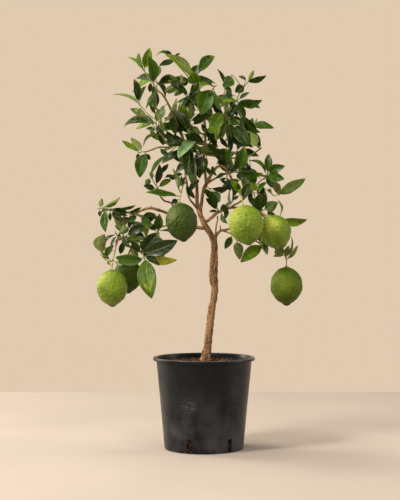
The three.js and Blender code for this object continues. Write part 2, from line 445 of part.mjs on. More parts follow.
function solidFrom(points, triangles) {
  const vertProperties = new Float32Array(points.length * 3);
  points.forEach((p, i) => vertProperties.set([p.x, p.y, p.z], i * 3));
  const triVerts = new Uint32Array(triangles);
  return new wasm.Manifold(new wasm.Mesh({ numProp: 3, vertProperties, triVerts }));
}

function solidFromGeometry(geometry) {
  geometry.deleteAttribute('normal');
  geometry.deleteAttribute('uv');
  const merged = mergeVertices(geometry, 1e-4);
  const vertProperties = new Float32Array(merged.attributes.position.array);
  const triVerts = new Uint32Array(merged.index.array);
  return new wasm.Manifold(new wasm.Mesh({ numProp: 3, vertProperties, triVerts }));
}

function meshFromSolid(solid, name, mat) {
  const m = solid.getMesh();
  const flat = new Float32Array((m.vertProperties.length / m.numProp) * 3);
  for (let i = 0; i < flat.length / 3; i += 1) {
    for (let c = 0; c < 3; c += 1) flat[i * 3 + c] = m.vertProperties[i * m.numProp + c];
  }
  let geometry = new THREE.BufferGeometry();
  geometry.setAttribute('position', new THREE.BufferAttribute(flat, 3));
  geometry.setIndex(new THREE.BufferAttribute(new Uint32Array(m.triVerts), 1));
  geometry = mergeVertices(geometry, 2e-3);
  const index = geometry.index.array;
  const kept = [];
  for (let t = 0; t < index.length; t += 3) {
    const [a, b, c] = index.slice(t, t + 3);
    if (a !== b && b !== c && a !== c) kept.push(a, b, c);
  }
  geometry.setIndex(kept);
  geometry.computeVertexNormals();
  const mesh = new THREE.Mesh(geometry, mat);
  mesh.name = name;
  return mesh;
}

function unite(list) {
  return list.reduce((sum, one) => (sum ? sum.add(one) : one), null);
}

function largestPart(solid, label, fine) {
  const parts = solid.simplify(fine).decompose().sort((a, b) => b.volume() - a.volume());
  if (parts.length > 1 && parts[1].volume() > 6) throw new Error(`${label} falls apart`);
  return parts[0];
}

// cross direction for each point of a line, carried along without twisting
function carriedFrames(points) {
  const tangents = points.map((p, i) => {
    const a = points[Math.max(0, i - 1)];
    const b = points[Math.min(points.length - 1, i + 1)];
    return b.clone().sub(a).normalize();
  });
  let side = new THREE.Vector3(1, 0, 0);
  if (Math.abs(tangents[0].x) > 0.8) side = new THREE.Vector3(0, 1, 0);
  return tangents.map((t) => {
    side = side.clone().addScaledVector(t, -side.dot(t)).normalize();
    return { t, side, up: t.clone().cross(side) };
  });
}

// round stem through the points; swell(i, angle) scales the radius to make bark lumps
function stem(points, radii, sides, swell) {
  const frames = carriedFrames(points);
  const verts = [];
  points.forEach((p, i) => {
    for (let s = 0; s < sides; s += 1) {
      const angle = (2 * Math.PI * s) / sides;
      const r = radii[i] * (swell ? swell(p, angle) : 1);
      verts.push(p.clone().addScaledVector(frames[i].side, r * Math.cos(angle))
        .addScaledVector(frames[i].up, r * Math.sin(angle)));
    }
  });
  const tris = [];
  for (let i = 0; i < points.length - 1; i += 1) {
    for (let s = 0; s < sides; s += 1) {
      const a = i * sides + s;
      const b = i * sides + ((s + 1) % sides);
      tris.push(a, b, b + sides, a, b + sides, a + sides);
    }
  }
  const last = (points.length - 1) * sides;
  for (let s = 1; s < sides - 1; s += 1) {
    tris.push(0, s + 1, s);
    tris.push(last, last + s, last + s + 1);
  }
  return solidFrom(verts, tris);
}

// ---- pot ---------------------------------------------------------------------------------

function wallRadius(z) {
  return POT_FOOT_R + ((POT_WALL_R - POT_FOOT_R) * z) / (POT_HEIGHT - LIP_DEPTH);
}

function pot() {
  const lipLow = POT_HEIGHT - LIP_DEPTH;
  const inside = wallRadius(POT_HEIGHT) - POT_WALL;
  const section = [
    [0, 0], [POT_FOOT_R - 2.5, 0], [wallRadius(2.5), 2.5], [wallRadius(POT_HEIGHT - 2.2), POT_HEIGHT - 2.2],
    [POT_RIM_R - 2, POT_HEIGHT - 2.2], [POT_RIM_R - 2, lipLow], [POT_RIM_R, lipLow],
    [POT_RIM_R, POT_HEIGHT - 1.2], [POT_RIM_R - 1.2, POT_HEIGHT], [inside, POT_HEIGHT],
    [wallRadius(POT_FLOOR) - POT_WALL, POT_FLOOR], [0, POT_FLOOR],
  ].map(([r, z]) => new THREE.Vector2(r, z));
  const turned = new THREE.LatheGeometry(section, POT_SEGMENTS);
  turned.rotateX(Math.PI / 2);
  let body = solidFromGeometry(turned);
  for (let i = 0; i < SLOT_COUNT; i += 1) {
    const angle = THREE.MathUtils.degToRad(SLOT_FIRST_DEG + (360 / SLOT_COUNT) * i);
    const box = new THREE.BoxGeometry(SLOT_WIDTH, 12, SLOT_HIGH - SLOT_LOW);
    box.translate(0, -(POT_FOOT_R + 1), (SLOT_LOW + SLOT_HIGH) / 2);
    box.rotateZ(angle);
    body = body.subtract(solidFromGeometry(box));
  }
  return body;
}

// ---- soil --------------------------------------------------------------------------------

function soilLevel(r, angle) {
  const dome = SOIL_DOME * (1 - Math.min(1, r / 95)) ** 1.5;
  const lumps = 0.9 * Math.sin(angle * 5 + r * 0.11) + 0.7 * Math.sin(angle * 9 - r * 0.23);
  return SOIL_TOP + dome + lumps * Math.min(1, r / 30);
}

function soil(trunkFat) {
  const rings = [0, 22, 48, 76];
  const n = POT_SEGMENTS;
  const verts = [new THREE.Vector3(0, 0, soilLevel(0, 0))];
  const clear = POT_WALL + SEAT_GAP + 0.3;
  const edge = (z) => wallRadius(z) - clear;
  const ring = (r, zAt) => {
    for (let s = 0; s < n; s += 1) {
      const a = (2 * Math.PI * s) / n;
      verts.push(new THREE.Vector3(r * Math.cos(a), r * Math.sin(a), zAt(a)));
    }
  };
  rings.slice(1).forEach((r) => ring(r, (a) => soilLevel(r, a)));
  ring(edge(SOIL_TOP - 1), (a) => SOIL_TOP - 1 + 0.6 * Math.sin(a * 7));
  ring(edge(POT_FLOOR) + 0, () => POT_FLOOR + SEAT_GAP);
  verts.push(new THREE.Vector3(0, 0, POT_FLOOR + SEAT_GAP));
  const tris = [];
  const count = rings.length + 1;
  for (let s = 0; s < n; s += 1) {
    const t = (s + 1) % n;
    tris.push(0, 1 + s, 1 + t);
    for (let k = 0; k < count - 1; k += 1) {
      const a = 1 + k * n + s;
      const b = 1 + k * n + t;
      tris.push(a, a + n, b + n, a, b + n, b);
    }
    const low = 1 + (count - 1) * n;
    tris.push(verts.length - 1, low + t, low + s);
  }
  return solidFrom(verts, tris).subtract(trunkFat);
}

// ---- trunk and limbs ---------------------------------------------------------------------

function barkSwell(p, angle) {
  const knots = 0.05 * Math.sin(p.z * 0.33 + 2 * angle) + 0.04 * Math.sin(p.z * 0.71 - 3 * angle);
  return 1 + knots + 0.03 * Math.sin(p.z * 1.3);
}

function limbSolid(rows, fat) {
  const line = new THREE.CatmullRomCurve3(rows.map(([x, z, y]) => place(x, z, y)), false, 'centripetal');
  const girth = rows[0][3];
  let step = 34;
  if (girth > 2.6) step = 27;
  if (girth > 5) step = 20;
  let sides = 4;
  if (girth > 2.6) sides = 6;
  if (girth > 5) sides = TRUNK_SIDES;
  const count = Math.max(3, Math.ceil(line.getLength() / step));
  const points = [];
  const radii = [];
  for (let i = 0; i <= count; i += 1) {
    const f = (i / count) * (rows.length - 1);
    const k = Math.min(rows.length - 2, Math.floor(f));
    points.push(line.getPoint(i / count));
    radii.push(THREE.MathUtils.lerp(rows[k][3], rows[k + 1][3], f - k) + fat / Math.cos(Math.PI / sides));
  }
  if (fat) {
    const ends = [points[0].clone().sub(points[1]), points[count].clone().sub(points[count - 1])];
    points[0].addScaledVector(ends[0].normalize(), fat);
    points[count].addScaledVector(ends[1].normalize(), fat);
  }
  return stem(points, radii, sides, girth > 2.6 ? barkSwell : null);
}

function limbs(fat) {
  return Object.values(LIMBS).map((rows) => limbSolid(rows, fat));
}

// ---- lemons ------------------------------------------------------------------------------

function lemonSolid(lemon, fat) {
  const top = place(lemon.top[0], lemon.top[1], lemon.top[2]);
  const tip = place(lemon.tip[0], lemon.tip[1], lemon.tip[2]);
  const length = top.distanceTo(tip);
  const radius = (lemon.wide / 2) * depthScale(lemon.top[2]);
  const section = LEMON_SECTION.map(([s, r], i) => {
    const end = i === 0 || i === LEMON_SECTION.length - 1;
    const along = s * length + (s < 0.5 ? -fat : fat) * Math.abs(1 - 2 * s);
    return new THREE.Vector2(end ? 0 : r * radius + fat, -along);
  }).reverse();
  const turned = new THREE.LatheGeometry(section, LEMON_SIDES);
  const turn = new THREE.Quaternion().setFromUnitVectors(
    new THREE.Vector3(0, -1, 0), tip.clone().sub(top).normalize());
  turned.applyQuaternion(turn);
  turned.translate(top.x, top.y, top.z);
  return solidFromGeometry(turned);
}

// ---- leaves ------------------------------------------------------------------------------

// point at a distance along a traced twig
function alongTwig(pts, distance) {
  let left = Math.max(0, distance);
  for (let i = 0; i < pts.length - 1; i += 1) {
    const step = Math.hypot(...pts[i].map((value, c) => pts[i + 1][c] - value));
    if (left <= step || i === pts.length - 2) {
      const f = Math.min(1, left / step);
      return pts[i].map((value, c) => value + (pts[i + 1][c] - value) * f);
    }
    left -= step;
  }
  return pts[0];
}

// distance along a twig of its place nearest to (x, z) as seen, and how near that is
function nearestOnTwig(pts, x, z) {
  let best = { d: Infinity, s: 0 };
  let run = 0;
  for (let i = 0; i < pts.length - 1; i += 1) {
    const [dx, dz, dy] = pts[i].map((value, c) => pts[i + 1][c] - value);
    const f = ((x - pts[i][0]) * dx + (z - pts[i][1]) * dz) / (dx * dx + dz * dz);
    const g = Math.min(1, Math.max(0, f));
    const d = Math.hypot(x - pts[i][0] - dx * g, z - pts[i][1] - dz * g);
    const step = Math.hypot(dx, dz, dy);
    if (d < best.d) best = { d, s: run + step * g };
    run += step;
  }
  return { ...best, run };
}

// feet of a spray's leaves on its traced twigs, kept a little apart from each other
function leafFeet(spray) {
  const feet = [];
  spray.leaves.forEach(([x, z]) => {
    let pick = null;
    spray.twigs.forEach((pts, number) => {
      const near = nearestOnTwig(pts, x, z);
      if (!pick || near.d < pick.d - 0.01) pick = { ...near, pts, number };
    });
    const low = pick.number === 0 ? BARE_START : 1;
    const free = FOOT_SHIFTS.map((shift) => Math.min(pick.run - 0.4, Math.max(low, pick.s + shift)))
      .find((s) => feet.every((foot) => foot.number !== pick.number || Math.abs(foot.s - s) >= FOOT_PITCH));
    const s = free === undefined ? Math.min(pick.run - 0.4, Math.max(low, pick.s)) : free;
    feet.push({ number: pick.number, s, at: alongTwig(pick.pts, s) });
  });
  return feet.map((foot) => foot.at);
}

// where a traced leaf stands: foot on the twig, base and tip of the blade, width and roll
function leafPose(q, row, bend, roll, scale) {
  const [bx, bz, tx, tz, seen, dy, face, , side] = row;
  const stalk = Math.hypot(bx - q[0], bz - q[1]);
  const run = Math.hypot(tx - bx, tz - bz);
  const tipDepth = q[2] + dy + bend;
  const baseDepth = q[2] + (dy + bend) * (stalk / (stalk + run));
  const foot = place(q[0], q[1], q[2]);
  let base = place(bx, bz, baseDepth);
  const tip = place(tx, tz, tipDepth);
  const want = Math.min(PETIOLE, 0.3 * foot.distanceTo(tip));
  if (base.distanceTo(foot) < want) {
    base = foot.clone().addScaledVector(tip.clone().sub(foot).normalize(), want);
  }
  tip.sub(base).multiplyScalar(scale).add(base);
  const length = base.distanceTo(tip);
  const visible = seen * depthScale(tipDepth) * scale;
  const width = Math.max(visible, Math.min(LEAF_MAX_WIDTH, LEAF_ASPECT * length));
  let turn = Math.acos(Math.min(1, visible / width)) * Math.sign(face);
  if (Math.abs(face) === 2) turn = Math.PI - turn;
  const eye = new THREE.Vector3(EYE_X, -EYE_DISTANCE, EYE_Z);
  return { foot, base, tip, width, roll: turn + roll, towards: eye, side: side * scale };
}

// half width of the blade as a share of its greatest, along the length t
function bladeShape(t) {
  return Math.sin(Math.PI * t ** 0.9) ** 0.78;
}

// frame and small variations of one leaf, from its number
function leafBody(pose, seed) {
  const draw = random(seed);
  const axis = pose.tip.clone().sub(pose.base);
  const length = axis.length();
  axis.normalize();
  const view = pose.towards.clone().sub(pose.base).normalize();
  const normal0 = view.addScaledVector(axis, -view.dot(axis)).normalize();
  const side0 = axis.clone().cross(normal0);
  return { ...pose, axis, length, normal0, side0,
    fold: 0.18 + 0.28 * draw(),
    bow: length * (0.03 + 0.07 * draw()),
    twist: (draw() - 0.5) * 0.5,
    wave: Math.min(1.6, length * 0.02) * (0.4 + 0.6 * draw()),
    phaseL: draw() * 6.283, phaseR: draw() * 6.283 };
}

// point of the blade: t along from base to tip, v across from -1 to 1
function bladePoint(leaf, t, v, lift) {
  const roll = leaf.roll + leaf.twist * (t - 0.5);
  const n = leaf.normal0.clone().multiplyScalar(Math.cos(roll)).addScaledVector(leaf.side0, Math.sin(roll));
  const s = leaf.axis.clone().cross(n);
  const arch = 4 * t * (1 - t);
  const half = (leaf.width / 2) * bladeShape(t) * Math.abs(v);
  const wave = leaf.wave * Math.sin(9.4 * t + (v < 0 ? leaf.phaseL : leaf.phaseR)) * v * v * arch;
  return leaf.base.clone().addScaledVector(leaf.axis, leaf.length * t)
    .addScaledVector(leaf.side0, -leaf.side * arch)
    .addScaledVector(n, leaf.bow * arch + half * Math.sin(leaf.fold) + wave + lift)
    .addScaledVector(s, half * Math.cos(leaf.fold) * Math.sign(v));
}

// closed blade with a keeled section; each pair of faces is split the same way above and below
function bladeSolid(leaf, withStalk) {
  let stations = [0.28, 0.7];
  if (leaf.length > 70) stations = [0.17, 0.46, 0.78];
  if (leaf.length > 84) stations = [0.14, 0.36, 0.6, 0.83];
  const verts = [];
  const roll = leaf.roll - leaf.twist / 2;
  const n0 = leaf.normal0.clone().multiplyScalar(Math.cos(roll))
    .addScaledVector(leaf.side0, Math.sin(roll));
  // upright foot edge, top and underneath, well inside the twig
  const foot = withStalk ? leaf.foot : leaf.base;
  verts.push(foot.clone().addScaledVector(n0, PETIOLE_HALF),
    foot.clone().addScaledVector(n0, -PETIOLE_HALF));
  // the straight-sided outline is drawn a little wide, so that it covers what the curve does
  const v = 1 + OUTLINE_EASE / stations.length;
  stations.forEach((t) => {
    verts.push(bladePoint(leaf, t, -v, 0), bladePoint(leaf, t, 0, LEAF_HALF_THICK),
      bladePoint(leaf, t, v, 0), bladePoint(leaf, t, 0, -LEAF_HALF_THICK));
  });
  const tip = verts.length;
  verts.push(bladePoint(leaf, 1, 0, 0));
  // from the foot to the first station, then from station to station
  const tris = [0, 3, 2, 0, 4, 3, 0, 1, 4, 1, 5, 4, 1, 0, 2, 1, 2, 5];
  for (let k = 0; k < stations.length - 1; k += 1) {
    const a = 2 + k * 4;
    const b = a + 4;
    // left edge a, keel top a+1, right edge a+2, keel bottom a+3
    tris.push(a, a + 1, b + 1, a, b + 1, b);
    tris.push(a + 2, b + 2, b + 1, a + 2, b + 1, a + 1);
    tris.push(a + 2, b + 3, b + 2, a + 2, a + 3, b + 3);
    tris.push(a, b, b + 3, a, b + 3, a + 3);
  }
  const e = 2 + (stations.length - 1) * 4;
  tris.push(e, e + 1, tip, e + 1, e + 2, tip, e + 2, e + 3, tip, e + 3, e, tip);
  return solidFrom(verts, tris);
}

// line of a twig that runs to the back, slightly bowed
function backLine([x0, z0, y0, x1, z1, y1]) {
  return [[x0, z0, y0], [(x0 + x1) / 2 + 2, (z0 + z1) / 2 + 4, (y0 + y1) / 2], [x1, z1, y1]];
}

function alongBack(back, f) {
  const line = backLine(back);
  const k = f < 0.5 ? 0 : 1;
  const g = f * 2 - k;
  return line[k].map((value, c) => value + (line[k + 1][c] - value) * g);
}

// leaves of such a twig, set in a spiral round it
function backRows(back) {
  const [x0, z0, , , , y1, count] = back;
  const inner = Math.abs(x0) < INNER_HALF_WIDTH && z0 > INNER_START;
  const rows = [];
  const draw = random(Math.round(x0 * 31 + z0 * 7 + y1 * 3 + 5000));
  for (let i = 0; i < count; i += 1) {
    const f = 0.3 + (0.7 * i) / (count - 1);
    const turn = i * 2.4 + draw() * 0.5;
    const reach = (inner ? 42 : 28) + 18 * draw();
    const deep = 12 + 40 * draw();
    const droop = 4 + 14 * draw();
    const foot = alongBack(back, f);
    rows.push({
      foot,
      tip: [foot[0] + reach * Math.cos(turn), foot[1] + reach * Math.sin(turn) * 0.8 - droop,
        foot[2] + deep],
      inner,
    });
  }
  return rows;
}

function backPose(row, bend, roll, scale) {
  const foot = place(...row.foot);
  const tip = place(row.tip[0], row.tip[1], row.tip[2] + bend);
  const base = foot.clone().addScaledVector(tip.clone().sub(foot).normalize(), PETIOLE);
  tip.sub(base).multiplyScalar(scale).add(base);
  const length = base.distanceTo(tip);
  const width = Math.min(LEAF_MAX_WIDTH, LEAF_ASPECT * length * 1.05);
  // the upper side faces up and outwards; deep in the crown it turns up and to the front
  const lean = row.inner ? -700 : 300;
  const towards = foot.clone().add(new THREE.Vector3(0, lean, row.inner ? 500 : 900));
  return { foot, base, tip, width, roll, towards, side: 0 };
}

// ---- sprays ------------------------------------------------------------------------------

function twigSolid(pts, radii) {
  return stem(pts.map(([x, z, y]) => place(x, z, y)), radii, TWIG_SIDES, null);
}

// a fruit's stalk runs on to the top of the fruit, where it widens to the calyx
function fruitStalk(pts, spray) {
  const lemon = LEMONS[spray.fruit];
  const seat = lemon.top.map((value, c) => value + (lemon.tip[c] - value) * CALYX_SUNK);
  return twigSolid([...pts, seat], [...pts.map(() => spray.r), CALYX_R]);
}

function thinning(pts, r) {
  return pts.map((p, i) => THREE.MathUtils.lerp(r, TWIG_END_R, i / (pts.length - 1)));
}

function sprayTwigs(spray) {
  const list = spray.twigs.map((pts, i) => {
    if (spray.fruit !== undefined && i === 0) return fruitStalk(pts, spray);
    return twigSolid(pts, thinning(pts, spray.r - (i ? 0.2 : 0)));
  });
  spray.back.forEach((back) => {
    const line = backLine(back);
    list.push(twigSolid(line, thinning(line, spray.r)));
  });
  return list;
}

function boxOf(solid) {
  const b = solid.boundingBox();
  return { min: b.min, max: b.max };
}

function near(a, b, gap) {
  return a.min[0] - gap < b.max[0] && b.min[0] - gap < a.max[0]
    && a.min[1] - gap < b.max[1] && b.min[1] - gap < a.max[1]
    && a.min[2] - gap < b.max[2] && b.min[2] - gap < a.max[2];
}

// things already standing: { solid, box, owner, core }
function clearOf(standing, candidate, owner) {
  return standing.every((thing) => {
    if (thing.owner === owner || thing.owner === 'wood') {
      const mine = thing.core || thing.solid;
      const box = thing.core ? thing.coreBox : thing.box;
      if (!near(box, candidate.coreBox, 0.5)) return true;
      return candidate.core.minGap(mine, 1) > 0.4;
    }
    if (!near(thing.box, candidate.box, 0.5)) return true;
    return candidate.solid.minGap(thing.solid, 1) > 0.4;
  });
}

function standLeaf(makePose, seed, standing, owner, label) {
  for (const scale of SCALES) {
    for (const roll of ROLLS) {
      for (const bend of BENDS) {
        const leaf = leafBody(makePose(bend, roll, scale), seed);
        const solid = bladeSolid(leaf, true);
        const short = { ...leaf, base: leaf.base.clone().addScaledVector(leaf.axis, leaf.length * 0.12),
          length: leaf.length * 0.88 };
        const core = bladeSolid(short, false);
        const candidate = { solid, core, box: boxOf(solid), coreBox: boxOf(core), owner };
        if (solid.genus() === 0 && clearOf(standing, candidate, owner)) {
          standing.push(candidate);
          return solid;
        }
      }
    }
  }
  throw new Error(`no free place for leaf ${label}`);
}

function build() {
  const root = new THREE.Group();
  root.name = 'potted_lemon_tree';
  const add = (solid, name, mat) => root.add(meshFromSolid(solid, name, mat));

  const wood = limbs(0);
  const woodFat = unite(limbs(SEAT_GAP));
  const lemons = LEMONS.map((lemon) => lemonSolid(lemon, 0));
  const lemonsFat = LEMONS.map((lemon) => lemonSolid(lemon, SEAT_GAP));
  const potSolid = pot();
  add(potSolid, 'pot', material('black plastic', 'pot'));
  add(soil(woodFat), 'soil', material('bark potting mix', 'soil'));
  const bareWood = largestPart(unite(wood).subtract(unite(lemonsFat)), 'wood', WOOD_FINENESS);
  add(bareWood, 'trunk_and_limbs', material('lemon bark', 'bark'));
  lemons.forEach((solid, i) => {
    add(solid, `lemon_${i + 1}`, material(`lemon rind ${i + 1}`, LEMONS[i].tone));
  });

  const standing = [];
  wood.forEach((solid) => standing.push({ solid, box: boxOf(solid), owner: 'wood' }));
  lemons.forEach((solid, i) => standing.push({ solid, box: boxOf(solid), owner: `lemon_${i + 1}` }));
  const sprays = [...STALKS, ...SPRAYS];
  const twigs = sprays.map((spray) => {
    const list = sprayTwigs(spray);
    list.forEach((solid) => standing.push({ solid, box: boxOf(solid), owner: spray.name }));
    return list;
  });
  sprays.forEach((spray, i) => {
    const bodies = [...twigs[i]];
    const feet = leafFeet(spray);
    spray.leaves.forEach((row, k) => {
      const makePose = (bend, roll, scale) => leafPose(feet[k], row, bend, roll, scale);
      bodies.push(standLeaf(makePose, 1000 * i + 17 * k + 1, standing, spray.name, `${spray.name} ${k}`));
    });
    spray.back.forEach((back, b) => {
      backRows(back).forEach((row, k) => {
        const makePose = (bend, roll, scale) => backPose(row, bend, roll, scale);
        const seed = 1000 * i + 400 * (b + 1) + 17 * k + 1;
        bodies.push(standLeaf(makePose, seed, standing, spray.name, `${spray.name} back ${b} ${k}`));
      });
    });
    let solid = unite(bodies).subtract(woodFat);
    if (spray.fruit !== undefined) solid = solid.subtract(lemonsFat[spray.fruit]);
    solid = largestPart(solid, spray.name, LEAF_FINENESS);
    add(solid, spray.name, material(`leaves of ${spray.name}`, 'leaf'));
  });
  return root;
}

export default build();
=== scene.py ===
import json
import math
from functools import partial

import bpy
from bpy.props import FloatProperty, FloatVectorProperty, IntProperty, PointerProperty
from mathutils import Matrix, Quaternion, Vector, kdtree, noise

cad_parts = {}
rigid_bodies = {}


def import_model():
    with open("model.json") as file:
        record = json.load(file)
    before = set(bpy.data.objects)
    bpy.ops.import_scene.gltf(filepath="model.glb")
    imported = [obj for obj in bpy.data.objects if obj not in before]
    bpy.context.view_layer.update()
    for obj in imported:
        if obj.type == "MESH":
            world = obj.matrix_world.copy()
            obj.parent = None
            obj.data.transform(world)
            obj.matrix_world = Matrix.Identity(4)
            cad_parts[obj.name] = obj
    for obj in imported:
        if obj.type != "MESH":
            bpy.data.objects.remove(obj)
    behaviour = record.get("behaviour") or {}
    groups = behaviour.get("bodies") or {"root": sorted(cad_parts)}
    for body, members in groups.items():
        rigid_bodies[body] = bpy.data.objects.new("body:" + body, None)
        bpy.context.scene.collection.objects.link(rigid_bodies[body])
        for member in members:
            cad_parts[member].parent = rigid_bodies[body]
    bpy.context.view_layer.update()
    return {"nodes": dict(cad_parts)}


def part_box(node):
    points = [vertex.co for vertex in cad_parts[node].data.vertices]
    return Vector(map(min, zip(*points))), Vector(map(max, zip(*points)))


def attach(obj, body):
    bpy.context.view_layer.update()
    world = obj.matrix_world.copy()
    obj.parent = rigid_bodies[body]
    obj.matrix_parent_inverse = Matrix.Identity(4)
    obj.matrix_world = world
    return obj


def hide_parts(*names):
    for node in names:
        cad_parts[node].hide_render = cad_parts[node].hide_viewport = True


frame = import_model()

bl_info = {
    "name": "Potted lemon tree",
    "version": (1, 0, 0),
    "blender": (4, 5, 0),
    "location": "3D Viewport > Sidebar > Lemon tree",
    "description": "Fine pot, soil, bark, fruit and leaves over the packed frame of the tree",
    "category": "Object",
}

MM = 0.001
MASK = 0xFFFFFFFF
WHITE = (1, 1, 1)
FULL_TURN = 6.283         # as the random angles use it

# ---- the tree as it is laid out --------------------------------------------------------
# Traced from a point in front of it: x to the right and z up (mm) at the plane of the pot's
# axis, then the depth behind (+) or before (-) that plane.  Same values as the frame's.

EYE_DISTANCE = 2596
EYE_X = -8.8
EYE_Z = 435
CROWN_START = 440
CROWN_RISE = 190
CROWN_DEPTH = 34
CROWN_PITCH = 46
CROWN_PHASE = 0.7
INNER_HALF_WIDTH = 112
INNER_START = 590
PETIOLE = 6
BARE_START = 4
FOOT_PITCH = 2.3
FOOT_SHIFTS = (0, -2.4, 2.4, -4.8, 4.8, -7.2, 7.2, -9.6, 9.6, -12, 12, -15, 15)
LEAF_ASPECT = 0.43
LEAF_MAX_WIDTH = 36
LEAF_HALF_THICK = 0.65
OUTLINE_EASE = 0.22
BENDS = (0, 8, -8, 16, -16, 26, -26, 38, -38, 52, -52, 68, -68)
ROLLS = (0, 0.4, -0.4, 0.8, -0.8)
SCALES = (1, 0.8)
MATCHED, FAR_OFF = 0.05, 3.0          # mm between a leaf and its solid blade


def table(text):
    """Rows of numbers: commas part the rows, spaces the numbers of a row."""
    return tuple(tuple(float(v) if "." in v else int(v) for v in row.split())
                 for row in text.split(",") if row.strip())


def leaf_table(text):
    """Leaves: x, z of the foot; x, z of the tip; width seen; lean to the back; tone (0 shade,
    1 green, 2 olive, 3 pale, a painted sheen, 4 yellow); then, unless they are 1 and 0, the side
    that shows (upper side 1 or -1, underside 2 or -2, the sign for the way it is rolled) and the
    bow."""
    full = ((*row, 1, 0)[:9] for row in table(text))
    return tuple((*row[:6], row[7], row[6], row[8]) for row in full)


def spray_table(*sprays):
    """Sprays: name, twig radius, lemon that hangs from it, twigs, leaves, back twigs.  In the
    text, | parts the last three and ; one twig from the next.  Twig: x, z, depth of its
    points.  Back twig: x, z, depth of its foot, then of its end; number of leaves."""
    read = []
    for name, r, fruit, text in sprays:
        twigs, leaves, backs = text.split("|")
        twigs = tuple(table(twig) for twig in twigs.split(";"))
        read.append((name, r, fruit, twigs, leaf_table(leaves), table(backs)))
    return tuple(read)


